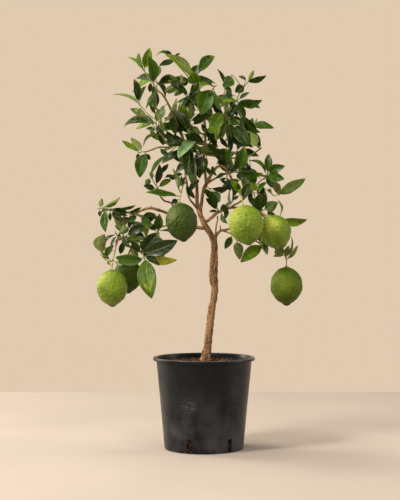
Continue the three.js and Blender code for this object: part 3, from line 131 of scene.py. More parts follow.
# woody limbs: x, z, depth and radius along each one
LIMBS = {
    "trunk": table("""
    2.6 150 0 10, 2.6 184 0 11.6, 4 198 0 10.6, 8 224 0 8.6, 11 252 0 8, 14 280 0 7.9,
    17.6 309 0 7.8, 22 332 0 7.2, 23.3 350 0 7.2, 22 366 0 8.6, 20.9 384 0 9, 21.5 400 0 8.9,
    22 413 0 8.7, 22.7 430 0 7, 22.7 447 0 6.6, 21.5 462 0 6.8"""),
    "main_left": table("""
    22 452 0 6.2, 16 468 -1 6.3, 8 480 -2 6.2, 2 490 -2 6, -4 503 -2 5.6, -9 515 -2 5.4,
    -13 530 -2 5"""),
    "left_strand": table("""
    -11 520 -2 4, -15 538 -3 4, -15.5 556 -4 3.8, -16 575 -3 3.6, -22 605 0 3.4,
    -32 640 4 3.2, -46 680 6 3, -60 712 2 2.8, -70 738 -4 2.4, -79 757 -9 2.2, -89 774 -12 2,
    -98 783 -14 1.8"""),
    "right_strand": table("""
    -9 516 -2 4, -6 535 0 3.6, -4 550 2 3.4, -1 567 3 3.6, 6 582 3 3.8, 14 597 2 3.4,
    22 611 1 3.2, 33 619.5 0 3, 43 618 -2 2.9, 53 606 -5 2.8, 60 593 -8 2.6, 65 578 -10 2.4"""),
    "leader": table("""
    5 580 4 3.2, 3 600 10 3, 0 630 14 2.8, 1 660 16 2.7, 3 690 16 2.5, 0 725 14 2.3,
    -10 755 8 2.1, -18 780 2 1.9"""),
    "thin_left": table("""
    -13 523 -3 2.4, -22 535 -6 2.2, -31 546 -9 2.1, -35.5 558 -10 2, -36.5 572 -11 2,
    -38 586 -12 1.9, -41 600 -12 1.8, -42 612 -12 1.6"""),
    "left_arch": table("""
    4 482 0 4, -6 483.5 2 3.9, -16 485 6 3.7, -32 491 10 3.4, -48 500 12 3.3, -64 509 12 3.2,
    -79.4 515.5 8 3, -96 521.6 3 2.9, -115.7 527 -3 2.7, -131 524.5 -8 2.6, -147 517 -12 2.5,
    -161 505 -16 2.4, -173 493 -19 2.3, -182 478 -21 2.3, -189 462 -22 2.2, -193 446 -24 2.1"""),
    "arch_lower": table("""
    -187 468 -22 1.9, -179 458 -24 1.9, -168 447 -26 1.8, -154 438 -26 1.8, -141 431 -26 1.7"""),
    "arch_upper": table("""
    -171 495 -19 1.8, -176 509 -22 1.7, -186 518 -26 1.6, -198 522 -30 1.5"""),
    "behind_fruit": table("""
    -56 505 12 2.2, -64 520 16 2.1, -72 538 17 2, -87 543 15 1.9, -95 552 13 1.8,
    -103 565 12 1.7"""),
    "fruit_side": table("-58 506 12 1.8, -70 494 10 1.7, -82 489 6 1.6, -93 486 2 1.5"),
    "right_low": table("""
    1 495 -1 3.5, 10 501 -1 3.4, 20 509 -2 3.3, 29 517 -3 3.1, 40 521 -2 2.6, 52 526 2 2.4,
    62 528 6 2.3, 73 528 10 2.3, 90 529 14 2.2, 106 526 15 2.1, 118 521 12 2.1, 126 516 8 2"""),
    "right_mid": table("57 527 4 2, 66 534 8 1.9, 75 538 12 1.8, 88 548 18 1.8, 102 563 20 1.7"),
    "fruit5_stalk": table("122 519 10 1.9, 131 514 0 1.8, 137 510.5 -9 1.9, 140 508 -13 2.6"),
    "behind_fruit5": table("""
    120 520 11 2, 132 508 24 1.9, 146 490 32 1.9, 160 465 32 1.8, 172 440 18 1.8,
    178 425 5 1.8"""),
    "right_fork": table("""
    22 456 0 3, 30 471 1 2.8, 37 477.5 2 2.4, 46 479 6 2, 56 481 12 1.9, 72 478 20 1.8,
    90 468 24 1.8, 108 458 24 1.7, 122 450 22 1.6"""),
    "fork_twig": table("26 466 0 2, 26 480 2 1.7, 27.5 492 3 1.6, 30 502 4 1.5, 29.5 510 5 1.3"),
    "fork_stub": table("33 474 1 1.8, 36 480 0 1.5, 35.5 489 0 1.2"),
    "top_right": table("1 652 15 2.4, 14 672 14 2.3, 28 695 12 2.2, 42 718 8 2"),
    "mid_right": table("""
    1 645 14 2, 22 642 16 1.9, 48 637 16 1.8, 74 638 14 1.7, 98 641 10 1.6, 113 650 7 1.5,
    127 660 4 1.3"""),
    "to_v_pair": table("8 582 4 2.4, 24 592 8 2.2, 42 601 10 2, 56 604 8 1.9, 66 607 6 1.8"),
    "mid_left": table("""
    -47 684 5 2.1, -60 670 0 2, -72 661 -5 1.9, -84 661 -8 1.8, -100 661 -9 1.7,
    -113 656 -10 1.7, -124 652 -11 1.6"""),
    "left_second": table("-72 661 -5 1.9, -82 671 -8 1.8, -91 685 -10 1.7"),
    "centre_left": table("3 688 16 1.9, -10 693 9 1.7, -19 698 4 1.6"),
    "fruit3_stalk": table("""
    -160 441 -26 1.7, -165 429 -10 1.7, -168 419 8 1.9, -168.5 413 17 2.4"""),
}

LEMONS = (
    ((-54, 538, -66), (-44, 452.5, -80), 68, "dark"),
    ((-203, 391, -44), (-201, 309.5, -48), 67, "light"),
    ((-168, 414, 22), (-167, 339, 18), 63, "dark"),
    ((86, 531, -52), (100, 446, -76), 76, "light"),
    ((143, 510, -14), (172, 437, -18), 68, "light"),
    ((181, 397.5, -10), (181.5, 312, -12), 69.5, "dark"),
)

STALKS = spray_table(
    ("fruit_stalk_1", 1.8, 0, """
    -38 585 -12, -44 581 -24, -50 562 -48, -54 540 -65; -51 560 -50, -58 575 -46, -63 593 -44,
    -68 612 -42 | -60 554 -129 562 14 -6 1 1 3, -66 603 -47 601 8 -16 0,
    -66 600 -86 594 8 -10 0, -53 572 -49 598 8 16 0, -43 585 -19 548 13 10 0 |"""),
    ("fruit_stalk_2", 1.7, 1, """
    -193 447 -24, -196 432 -29, -200 416 -35, -203 393 -43; -201 411 -37, -210 410 -39,
    -220 417 -41, -226 424 -42 | -227 426 -219 470 29 -6 3 2 8,
    -216 420 -198 446 15 -12 1 1 3, -214 414 -206 401 7 -8 2, -201 413 -179 401 8 -10 3 |"""),
    ("fruit_stalk_4", 1.8, 3, """
    65 579 -10, 71 571 -12, 78 561 -16, 83 551 -26, 86 533 -50 | 76 562 74 583 12 -16 1,
    86 545 99 581 24 8 0, 80 556 62 545 8 -8 1 |"""),
    ("fruit_stalk_6", 1.7, 5, """
    178 426 6, 181 412 -2, 181 399 -9 | 179 420 156 436 22 -10 3 2 0,
    182 418 186 445 16 10 3 2 0, 177 423 152 421 8 10 0, 183 411 206 446 10 -10 2 1 2,
    184 424 191 466 5 16 0 1 -2 |"""),
)

SPRAYS = spray_table(
    ("spray_top_left", 1.5, None, """
    -98 783 -14, -104 790 -15, -112 802 -16, -120 812 -17, -132 830 -18 |
    -131 831 -119 880 23 -8 2, -133 832 -143 869 12 20 3 -2 0, -134 831 -168 859 6 -6 2,
    -110 800 -122 861 26 -18 1 -1 -6, -116 808 -119 782 11 14 0,
    -106 790 -128 746 9 -10 1 1 3, -104 789 -115 737 11 6 0 -1 0, -102 787 -103 742 13 -14 0 |
    -104 790 -15 -108 812 66 5"""),
    ("spray_left_upper", 1.4, None, """
    -91 685 -10, -105 700 -12, -115 714 -13, -122 725 -14; -93 687 -10, -89 700 -13,
    -88 711 -15, -104 721 -19, -120 731 -23, -133 745 -26, -145 758 -28 |
    -124 724 -163 746 18 -8 0 2 0, -120 713 -180 702 15 -10 0 1 -5, -102 697 -128 702 9 14 0,
    -97 688 -133 662 5 -8 0 1 -7, -146 761 -154 812 18 -6 0, -143 762 -127 796 11 22 3 -2 0,
    -147 760 -199 777 6 -10 2, -136 750 -148 737 13 -34 3 2 0, -88 714 -61 770 13 10 3 2 0,
    -92 716 -103 746 12 4 3 2 0 | -105 700 -12 -108 716 62 5"""),
    ("spray_left_middle", 1.4, None, """
    -124 652 -11, -134 651 -13, -143 649 -15 | -144 650 -180 676 12 -12 2 1 3,
    -137 652 -161 682 20 16 3 -2 0, -128 649 -141 594 29 -20 1 1 -4,
    -140 648 -149 636 9 -14 0, -126 652 -118 633 10 8 0 -1 0 |"""),
    ("spray_centre_arc", 1.7, None, """
    1 657 16, -12 663 -4, -32 675 -16, -50 671 -20, -62 662 -20, -72 653 -18, -82 646 -16;
    -4 659 8, 2 668 0, 3 674 -4 | -32 671 -37 598 28 -22 0 1 3, -74 645 -33 641 30 10 0,
    -84 650 -119 600 10 -8 3 2 3, -30 675 18 651 9 -14 2, 0 671 -32 691 13 -8 0,
    6 672 34 694 16 6 0, 5 668 30 657 12 -4 0, -60 666 -88 690 14 14 0,
    -46 673 -78 664 18 20 0 | -32 675 -16 -46 652 78 5"""),
    ("spray_centre_hanging", 1.5, None, """
    0 640 15, -10 645 2, -20 643 -8, -25 640 -12 | -25 638 -24 577 22 -16 1 1 3,
    -17 641 -8 594 14 -6 0 -1 0, -8 640 2 612 9 -16 2 | -10 645 2 -14 640 82 5"""),
    ("spray_left_low", 1.4, None, """
    -103 565 12, -103 572 8, -110 584 6, -117 596 5 | -103 577 -98 624 17 -8 0,
    -100 572 -72 588 12 -10 2 1 3, -107 569 -133 577 14 -12 0, -119 600 -129 577 13 6 3 2 0,
    -112 588 -117 608 10 10 1, -101 570 -84 552 9 14 1 |"""),
    ("spray_top_mid", 1.4, None, """
    -18 780 2, -22 798 10, -40 822 14, -58 842 15, -69 854 15; -20 790 6, -19 800 0,
    -17 813 -3, -15 824 -5 | -70 855 -108 861 6 8 1 1 -9, -70 857 -91 871 7 -4 0 1 -3,
    -68 857 -52 867 6 2 1 1 3, -66 851 -99 840 13 6 0, -30 824 -58 858 12 12 0,
    -13 829 24 861 25 -6 1 1 6, -24 812 -86 864 22 -20 2, -20 798 -25 829 30 -44 2,
    -21 789 -31 764 16 -12 0, -36 812 -46 796 7 10 0 1 3 | -22 798 10 -30 806 78 5"""),
    ("spray_top_left_of_centre", 1.5, None, """
    -10 755 8, -28 764 4, -42 777 0, -53 791 -2 | -42 778 -80 808 18 -18 0,
    -54 795 -80 822 9 14 3 2 0, -52 798 -51 822 8 18 3 2 0, -60 797 -86 782 16 10 3 2 0,
    -44 778 -66 776 10 -10 3 2 0, -34 770 -46 746 8 -8 1 |"""),
    ("spray_top_centre", 1.5, None, """
    -3 733 13, 0 755 4, 9 775 2, 19 789 0, 27 797 -2 | 9 784 -8 732 42 -50 1,
    20 790 38 741 15 -8 3 2 0, 24 797 -19 777 13 -22 2 1 -9, 20 797 -5 808 6 12 0 |
    0 755 4 -8 762 84 5"""),
    ("spray_top_right", 1.7, None, """
    42 718 8, 50 731 6, 60 746 3, 66 756 0, 74 770 -2, 80 783 -4, 88 794 -6, 96 804 -7;
    50 731 6, 44 750 9, 43 766 8, 46 790 4; 79 780 -4, 79 797 -8, 71 810 -11, 62 820 -13;
    60 746 3, 72 741 0, 80 734 -3, 88 721 -2, 95 711 -2, 101 704 -3 |
    96 806 109 831 10 12 3 2 0, 98 805 137 819 15 -8 1 1 3, 93 803 68 782 22 -20 0,
    92 808 76 817 8 8 0, 78 757 128 765 21 -12 1 1 2, 72 754 62 737 20 -22 0,
    47 792 63 768 13 -8 0, 46 792 29 833 9 14 0, 60 820 42 794 27 -28 1 1 3,
    70 766 40 762 7 -14 2 1 2, 60 756 46 740 11 -16 3 2 0, 82 733 97 690 12 -10 0 1 -2,
    85 730 118 697 16 8 0 1 3, 101 703 112 663 28 -24 3 2 0, 103 705 125 663 14 6 0 1 5,
    104 706 117 725 5 14 3 2 0 | 66 756 0 74 764 72 5, 95 711 -2 100 694 62 5"""),
    ("spray_centre_right", 1.6, None, """
    39 713 9, 43 727 -6, 45 738 -10; 43.6 730 -7, 55 722 -6, 67 711 -4 |
    45 738 27 675 13 -18 2, 48 730 40 680 13 6 3 2 4, 38 736 12 692 34 -30 2,
    68 712 98 665 32 -16 0, 60 716 51 682 16 -14 1, 67 711 70 684 9 -20 1 |
    43 727 -6 34 706 84 5"""),
    ("spray_centre_left", 1.5, None, """
    -19 698 4, -26 705 -2, -30 715 -7, -32 722 -10 | -32 718 -50 757 15 -10 2 -1 0,
    -29 718 -30 759 17 10 3 2 0, -26 709 11 733 22 -12 0 1 4, -33 702 -54 738 12 6 0,
    -35 700 -73 741 22 -22 0, -34 708 -62 694 14 -6 0, -26 708 -8 690 11 -16 3 2 0 |
    -30 716 -7 -44 716 70 5"""),
    ("spray_mid_right", 1.5, None, """
    52 637 16, 56 640 4, 58 645 -4 | 56 640 20 646 25 -14 0, 58 645 54 686 13 -6 0,
    60 640 34 622 12 8 0 | 56 640 4 74 652 78 5"""),
    ("spray_v_pair", 1.5, None, """
    66 607 6, 69 608 0, 72 606 -4 | 69 611 89 664 32 -14 1 1 -4, 67 611 49 661 14 -6 1 -1 0,
    76 604 129 604 18 -10 1 1 2, 72 604 86 587 14 -14 0 | 69 608 0 82 590 74 5"""),
    ("spray_arch_left_leaf", 1.4, None, """
    30 518 -3, 32 522 -10, 36 520 -15 | 30 525 -6 572 17 -10 0, 27 523 4 549 14 10 0,
    29 520 11 519 7 -6 0, 36 518 52 493 11 -10 1 1 -2 |"""),
    ("spray_beside_fruit", 1.4, None, """
    50 525 2, 53 530 -6, 62 541 -8, 70 552 -10 | 56 532 35 521 20 -12 0,
    55 528 46 503 12 -16 1, 63 542 58 577 5 8 0, 71 554 66 590 17 -10 1 |"""),
    ("spray_under_arch", 1.3, None, """
    4 577 3, 10 571 -6, 14 568 -10 | 14 566 34 540 25 -8 3 2 0, 15 571 57 574 13 -10 0 |"""),
    ("spray_arch_crown", 1.3, None, """
    49 611 -4, 50 604 -10, 51 598 -12 | 51 598 57 564 14 -6 0, 50 592 34 588 6 -8 0,
    47 606 26 592 10 -6 1 |"""),
    ("spray_right", 1.6, None, """
    102 563 20, 112 574 20, 120 583 18, 129 590 16, 137 598 13, 141 603 10; 118 581 19,
    133 570 14, 145 562 10, 154 554 8, 159 556 5 | 138 603 97 631 8 -8 1 1 -5,
    141 606 142 646 19 8 1, 144 605 178 620 22 -10 1 1 3, 143 601 177 591 26 -18 1 1 -2,
    140 599 150 571 16 -8 0, 160 557 223 592 23 -12 2 1 4, 154 558 141 570 9 -10 3 2 0,
    114 579 86 592 13 -12 3 1 -3, 121 580 138 538 14 -6 0 1 4, 104 566 100 542 12 10 0 |
    129 590 16 150 588 78 3, 104 566 20 112 546 92 3"""),
    ("spray_right_inner", 1.4, None, """
    123 518 10, 127 521 2, 131 522 -2 | 127 523 120 558 30 -10 0, 124 522 98 552 15 8 0,
    122 519 97 542 9 -6 0, 135 520 163 540 26 30 3 2 0, 132 523 141 534 5 4 0 |"""),
    ("spray_behind_fruit5", 1.4, None, """
    150 484 32, 160 494 34, 167 502 32 | 168 506 162 546 5 -4 2 1 -4,
    172 500 227 502 20 -14 2, 164 500 140 520 16 20 0 | 160 494 34 158 484 92 3"""),
    ("spray_under_fruits", 1.4, None, """
    122 450 22, 127 448 14, 131 446 8 | 130 444 80 408 30 -16 2 1 -3, 126 450 141 442 20 14 0,
    124 452 118 470 12 6 0 | 127 448 14 120 462 86 3"""),
    ("spray_fruit_left_foot", 1.3, None, """
    66 479 17, 65 473 6, 63 469 0 | 62 467 46 437 17 -6 1 | 65 473 6 72 456 74 3"""),
    ("spray_far_left", 1.4, None, """
    -198 522 -30, -210 525 -33, -222 527 -35, -232 526 -36 | -226 531 -184 551 10 12 3 2 2,
    -230 530 -224 549 12 18 3 2 0, -220 532 -190 541 8 -6 2 1 2, -217 520 -216 474 19 -10 1,
    -207 520 -206 499 8 8 0, -229 521 -229 508 9 -6 0, -204 521 -179 497 20 -14 0,
    -201 525 -150 534 9 -10 1 1 3 | -203 523 -31.3 -194 514 32 3"""),
    ("spray_arch_middle", 1.4, None, """
    -148 516 -12, -143 512 -20, -136 509 -22 | -138 512 -105 512 12 -6 0 1 3,
    -143 508 -113 489 19 -8 1 1 -3, -147 508 -170 497 15 -8 1, -137 507 -112 500 15 12 0 |
    -143 512 -20 -134 498 60 3"""),
    ("spray_arch_side", 1.3, None, """
    -164 502 -17, -162 508 -22, -163 515 -24 | -164 516 -184 523 9 4 0,
    -162 514 -152 519 8 -8 0, -165 500 -164 483 10 -12 0, -164 512 -182 498 14 8 0 |"""),
    ("spray_oval_leaf", 1.3, None, """
    -93 486 2, -99 480 -4, -103 474 -8 | -103 476 -98 515 23 -16 1, -100 478 -122 490 14 6 0 |
    -99 480 -4 -104 468 66 3"""),
    ("spray_lower_left", 1.6, None, """
    -141 431 -26, -135 427 -32, -131 419 -36 | -139 434 -98 474 34 -4 0,
    -133 431 -58 456 36 -28 0 1 -3, -124 424 -59 413 21 -8 4, -129 424 -97 401 14 -20 0 1 5,
    -129 413 -115 328 43 -34 1 1 -3, -136 414 -195 419 28 -10 1 1 4 |
    -137 428.3 -30 -110 452 46 3"""),
    ("spray_inner_left", 1.3, None, """
    -178 457 -24, -175 461 -29, -172 466 -31 | -170 469 -121 486 24 -8 0 1 5,
    -170 463 -145 460 8 -6 2, -173 459 -165 442 10 -4 0, -177 456 -184 426 14 14 0 |
    -175 461 -29 -160 452 30 3"""),
    ("spray_arch_foot", 1.3, None, """
    -188 465 -22, -192 470 -28, -194 474 -30 | -195 472 -221 437 8 -6 0 1 -3,
    -189 464 -166 486 17 -16 3 2 0, -192 464 -204 438 7 12 0 |"""),
)


# ---- small helpers ---------------------------------------------------------------------

def linear(hex_colour):
    """Linear colour from an sRGB hex value such as "#26272a"."""
    parts = [int(hex_colour[i:i + 2], 16) / 255 for i in (1, 3, 5)]
    return [c / 12.92 if c <= 0.04045 else ((c + 0.055) / 1.055) ** 2.4 for c in parts]


def random_from(seed):
    """Seeded draw between 0 and 1, the same sequence for the same number."""
    state = seed & MASK

    def draw():
        nonlocal state
        state = (state + 0x6D2B79F5) & MASK
        t = ((state ^ (state >> 15)) * (1 | state)) & MASK
        t = ((t + (((t ^ (t >> 7)) * (61 | t)) & MASK)) & MASK) ^ t
        return ((t ^ (t >> 14)) & MASK) / 4294967296
    return draw


def mix(a, b, f):
    return [p + (q - p) * f for p, q in zip(a, b)]


def clamp(x, low=0.0, high=1.0):
    return max(low, min(high, x))


def crown_depth(x, z):
    rise = clamp((z - CROWN_START) / CROWN_RISE)
    return CROWN_DEPTH * rise * rise * (3 - 2 * rise) * math.sin(x / CROWN_PITCH + CROWN_PHASE)


def place(x, z, y):
    """A traced point put at its depth, so that it is seen at the same place from the front."""
    deep = y + crown_depth(x, z)
    k = (EYE_DISTANCE + deep) / EYE_DISTANCE
    return Vector((EYE_X + (x - EYE_X) * k, deep, EYE_Z + (z - EYE_Z) * k))


def depth_scale(y):
    return (EYE_DISTANCE + y) / EYE_DISTANCE


def curve_point(points, t):
    """Point of the centripetal curve through the points, t from 0 to 1."""
    last = len(points) - 1
    k = min(last - 1, int(last * t))
    w = last * t - k
    p1, p2 = points[k], points[k + 1]
    p0 = points[k - 1] if k > 0 else p1 * 2 - p2
    p3 = points[k + 2] if k + 2 <= last else p2 * 2 - p1
    d0, d1, d2 = (max(1e-4, (b - a).length_squared ** 0.25)
                  for a, b in ((p0, p1), (p1, p2), (p2, p3)))
    m1 = ((p1 - p0) / d0 - (p2 - p0) / (d0 + d1) + (p2 - p1) / d1) * d1
    m2 = ((p2 - p1) / d1 - (p3 - p1) / (d1 + d2) + (p3 - p2) / d2) * d1
    c2 = p2 * 3 - p1 * 3 - m1 * 2 - m2
    c3 = p1 * 2 - p2 * 2 + m1 + m2
    return p1 + m1 * w + c2 * w * w + c3 * w * w * w


def traced(points, radii, step, least):
    """Points and radii about a step apart on the curve through the points."""
    reach = sum((b - a).length for a, b in zip(points, points[1:]))
    count = max(least, math.ceil(reach / step))
    line, girths = [], []
    for i in range(count + 1):
        f = i / count * (len(points) - 1)
        k = min(len(points) - 2, int(f))
        line.append(curve_point(points, i / count))
        girths.append(radii[k] + (radii[k + 1] - radii[k]) * (f - k))
    return line, girths


def angles(count):
    return [2 * math.pi * s / count for s in range(count)]


def polar(r, angle, z=0):
    return Vector((r * math.cos(angle), r * math.sin(angle), z))


def search_tree(points):
    """Finds the nearest of the points."""
    tree = kdtree.KDTree(len(points))
    for i, p in enumerate(points):
        tree.insert(p, i)
    tree.balance()
    return tree


class Skin:
    """Points, faces, slots, UVs and tints (mm) collected for one piece."""

    def __init__(self):
        self.points, self.tints = [], []
        self.faces, self.slots, self.uvs = [], [], []

    def point(self, p, tint=WHITE):
        self.points.append((p[0] * MM, p[1] * MM, p[2] * MM))
        self.tints.append(tint)
        return len(self.points) - 1

    def face(self, corners, slot=0, uvs=None):
        self.faces.append(corners)
        self.slots.append(slot)
        self.uvs.extend(uvs or [(0, 0)] * len(corners))

    def join(self, rings, slot=0):
        """Faces from ring to ring and over both ends; a ring may be a single point."""
        for low, high in zip(rings, rings[1:]):
            around = max(len(low), len(high))
            for s in range(around):
                t = (s + 1) % around
                corners = (low[s % len(low)], low[t % len(low)],
                           high[t % len(high)], high[s % len(high)])
                self.face(list(dict.fromkeys(corners)), slot)
        for end in (rings[0][::-1], rings[-1]):
            if len(end) > 1:
                self.face(end, slot)

    def tube(self, line, radii, sides, tint=WHITE, slot=0, sway=None):
        """Round tube with closed ends; tint may be a list of colours, one for each ring."""
        rings = []
        for i, (p, (_, side, up)) in enumerate(zip(line, carried_frames(line))):
            ring = []
            for a in angles(sides):
                r = radii[i] * (sway(p, a) if sway else 1)
                ring.append(self.point(p + side * (r * math.cos(a)) + up * (r * math.sin(a)),
                                       tint[i] if isinstance(tint[0], list) else tint))
            rings.append(ring)
        self.join(rings, slot)

    def build(self, name, materials, smooth=True):
        mesh = bpy.data.meshes.new(name)
        mesh.from_pydata(self.points, [], self.faces)
        for material in materials:
            mesh.materials.append(material)
        mesh.polygons.foreach_set("material_index", self.slots)
        mesh.polygons.foreach_set("use_smooth", [smooth] * len(self.faces))
        layer = mesh.uv_layers.new(name="across_along")
        layer.data.foreach_set("uv", [c for uv in self.uvs for c in uv])
        tint = mesh.color_attributes.new("tint", "FLOAT_COLOR", "POINT")
        tint.data.foreach_set("color", [c for t in self.tints for c in (*t, 1)])
        mesh.update()
        obj = bpy.data.objects.new(name, mesh)
        bpy.context.scene.collection.objects.link(obj)
        return obj


def carried_frames(line):
    """(tangent, side, up) at each point of a line, carried along without twisting."""
    frames = []
    side = None
    for i in range(len(line)):
        tangent = (line[min(i + 1, len(line) - 1)] - line[max(i - 1, 0)]).normalized()
        if side is None:
            side = Vector((0, 1, 0)) if abs(tangent.x) > 0.8 else Vector((1, 0, 0))
        side = (side - tangent * side.dot(tangent)).normalized()
        frames.append((tangent, side, tangent.cross(side)))
    return frames


def claim(obj, nodes):
    """The piece rides on the tree's body and stands for these frame nodes."""
    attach(obj, "root")
    if nodes:
        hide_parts(*nodes)


# ---- leaves ----------------------------------------------------------------------------

def along_twig(points, distance):
    left = max(0, distance)
    for i in range(len(points) - 1):
        step = math.dist(points[i], points[i + 1])
        if left <= step or i == len(points) - 2:
            return mix(points[i], points[i + 1], min(1, left / step))
        left -= step
    return points[0]


def nearest_on_twig(points, x, z):
    """(how near, distance along, length) of the twig's place nearest to (x, z) as seen."""
    best = (math.inf, 0)
    run = 0
    for a, b in zip(points, points[1:]):
        dx, dz = b[0] - a[0], b[1] - a[1]
        g = clamp(((x - a[0]) * dx + (z - a[1]) * dz) / (dx * dx + dz * dz))
        d = math.hypot(x - a[0] - dx * g, z - a[1] - dz * g)
        step = math.dist(a, b)
        if d < best[0]:
            best = (d, run + step * g)
        run += step
    return best[0], best[1], run


def leaf_feet(twigs, leaves):
    """Feet of a spray's leaves on its twigs, kept a little apart from each other."""
    feet = []
    for row in leaves:
        pick = None
        for number, points in enumerate(twigs):
            d, s, run = nearest_on_twig(points, row[0], row[1])
            if pick is None or d < pick[0] - 0.01:
                pick = (d, s, run, points, number)
        _, s, run, points, number = pick
        low = BARE_START if number == 0 else 1
        places = [min(run - 0.4, max(low, s + shift)) for shift in FOOT_SHIFTS]
        free = [p for p in places
                if all(n != number or abs(q - p) >= FOOT_PITCH for n, q, _ in feet)]
        chosen = free[0] if free else places[0]
        feet.append((number, chosen, along_twig(points, chosen)))
    return [at for _, _, at in feet]


def leaf_pose(q, row, bend, roll, scale):
    """Where a traced leaf stands: foot on the twig, base and tip of the blade, width, roll."""
    bx, bz, tx, tz, seen, dy, face, _, side = row
    stalk = math.hypot(bx - q[0], bz - q[1])
    run = math.hypot(tx - bx, tz - bz)
    tip_depth = q[2] + dy + bend
    foot = place(*q)
    base = place(bx, bz, q[2] + (dy + bend) * (stalk / (stalk + run)))
    tip = place(tx, tz, tip_depth)
    want = min(PETIOLE, 0.3 * (tip - foot).length)
    if (base - foot).length < want:
        base = foot + (tip - foot).normalized() * want
    tip = base + (tip - base) * scale
    visible = seen * depth_scale(tip_depth) * scale
    width = max(visible, min(LEAF_MAX_WIDTH, LEAF_ASPECT * (tip - base).length))
    turn = math.copysign(math.acos(min(1, visible / width)), face)
    if abs(face) == 2:
        turn = math.pi - turn
    return dict(foot=foot, base=base, tip=tip, width=width, roll=turn + roll,
                towards=Vector((EYE_X, -EYE_DISTANCE, EYE_Z)), side=side * scale)


def back_line(back):
    x0, z0, y0, x1, z1, y1, _ = back
    return [(x0, z0, y0), ((x0 + x1) / 2 + 2, (z0 + z1) / 2 + 4, (y0 + y1) / 2), (x1, z1, y1)]


def back_rows(back):
    """Leaves of a twig that runs to the back, set in a spiral round it."""
    x0, z0, y1, count = back[0], back[1], back[5], back[6]
    inner = abs(x0) < INNER_HALF_WIDTH and z0 > INNER_START
    draw = random_from(math.floor(x0 * 31 + z0 * 7 + y1 * 3 + 5000 + 0.5))
    line = back_line(back)
    rows = []
    for i in range(count):
        f = 0.3 + 0.7 * i / (count - 1)
        turn = i * 2.4 + draw() * 0.5
        reach = (42 if inner else 28) + 18 * draw()
        deep = 12 + 40 * draw()
        droop = 4 + 14 * draw()
        k = 0 if f < 0.5 else 1
        foot = mix(line[k], line[k + 1], f * 2 - k)
        tip = (foot[0] + reach * math.cos(turn), foot[1] + reach * math.sin(turn) * 0.8 - droop,
               foot[2] + deep)
        rows.append((foot, tip, inner))
    return rows


def back_pose(row, bend, roll, scale):
    at, end, inner = row
    foot = place(*at)
    tip = place(end[0], end[1], end[2] + bend)
    base = foot + (tip - foot).normalized() * PETIOLE
    tip = base + (tip - base) * scale
    width = min(LEAF_MAX_WIDTH, LEAF_ASPECT * (tip - base).length * 1.05)
    lean = Vector((0, -700, 500)) if inner else Vector((0, 300, 900))
    return dict(foot=foot, base=base, tip=tip, width=width, roll=roll, towards=foot + lean,
                side=0)


def leaf_body(pose, seed):
    """The pose with its frame and the small variations that come from the leaf's number."""
    draw = random_from(seed)
    axis = pose["tip"] - pose["base"]
    length = axis.length
    axis.normalize()
    view = (pose["towards"] - pose["base"]).normalized()
    normal = (view - axis * view.dot(axis)).normalized()
    leaf = dict(pose, axis=axis, length=length, normal=normal, across=axis.cross(normal))
    leaf["fold"] = 0.18 + 0.28 * draw()
    leaf["bow"] = length * (0.03 + 0.07 * draw())
    leaf["twist"] = (draw() - 0.5) * 0.5
    leaf["wave"] = min(1.6, length * 0.02) * (0.4 + 0.6 * draw())
    leaf["phases"] = (draw() * FULL_TURN, draw() * FULL_TURN)
    return leaf


def leaf_width_share(t):
    return max(0.0, math.sin(math.pi * t ** 0.9)) ** 0.78


def blade_point(leaf, t, v, lift):
    """Point of the blade: t along from base to tip, v across from -1 to 1."""
    roll = leaf["roll"] + leaf["twist"] * (t - 0.5)
    n = leaf["normal"] * math.cos(roll) + leaf["across"] * math.sin(roll)
    s = leaf["axis"].cross(n)
    arch = 4 * t * (1 - t)
    half = leaf["width"] / 2 * leaf_width_share(t) * abs(v)
    wave = leaf["wave"] * math.sin(9.4 * t + leaf["phases"][0 if v < 0 else 1]) * v * v * arch
    return (leaf["base"] + leaf["axis"] * (leaf["length"] * t)
            - leaf["across"] * (leaf["side"] * arch)
            + n * (leaf["bow"] * arch + half * math.sin(leaf["fold"]) + wave + lift)
            + s * (half * math.cos(leaf["fold"]) * (1 if v > 0 else -1 if v < 0 else 0)))


def station_points(leaf):
    """The few points by which the frame's solid blade is made."""
    stations = (0.28, 0.7)
    if leaf["length"] > 70:
        stations = (0.17, 0.46, 0.78)
    if leaf["length"] > 84:
        stations = (0.14, 0.36, 0.6, 0.83)
    v = 1 + OUTLINE_EASE / len(stations)
    points = [blade_point(leaf, 1, 0, 0)]
    for t in stations:
        points += [blade_point(leaf, t, -v, 0), blade_point(leaf, t, 0, LEAF_HALF_THICK),
                   blade_point(leaf, t, v, 0), blade_point(leaf, t, 0, -LEAF_HALF_THICK)]
    return points


def settle(make_pose, seed, solid):
    """The leaf with the bend, roll and scale that its solid blade has in the frame."""
    best = (math.inf, None)
    for scale in SCALES:
        for roll in ROLLS:
            for bend in BENDS:
                leaf = leaf_body(make_pose(bend, roll, scale), seed)
                points = station_points(leaf)
                error = sum(min(FAR_OFF, solid.find(p)[2]) for p in points) / len(points)
                if error < best[0]:
                    best = (error, leaf)
                if error < MATCHED:
                    return leaf
    return best[1]


def node_tree_of(name):
    """Search tree (mm) over the corners of a frame node's solid."""
    return search_tree([vertex.co * 1000 for vertex in frame["nodes"][name].data.vertices])


# ---- sizes and colours that a user would change ----------------------------------------

def size(name, description, default, low=0.0, high=1.0):
    return FloatProperty(name=name, description=description, default=default, min=low,
                         max=high, precision=4, unit="LENGTH", subtype="DISTANCE")


def colour(name, description, default):
    return FloatVectorProperty(name=name, description=description, size=3, min=0, max=1,
                               subtype="COLOR", default=linear(default))


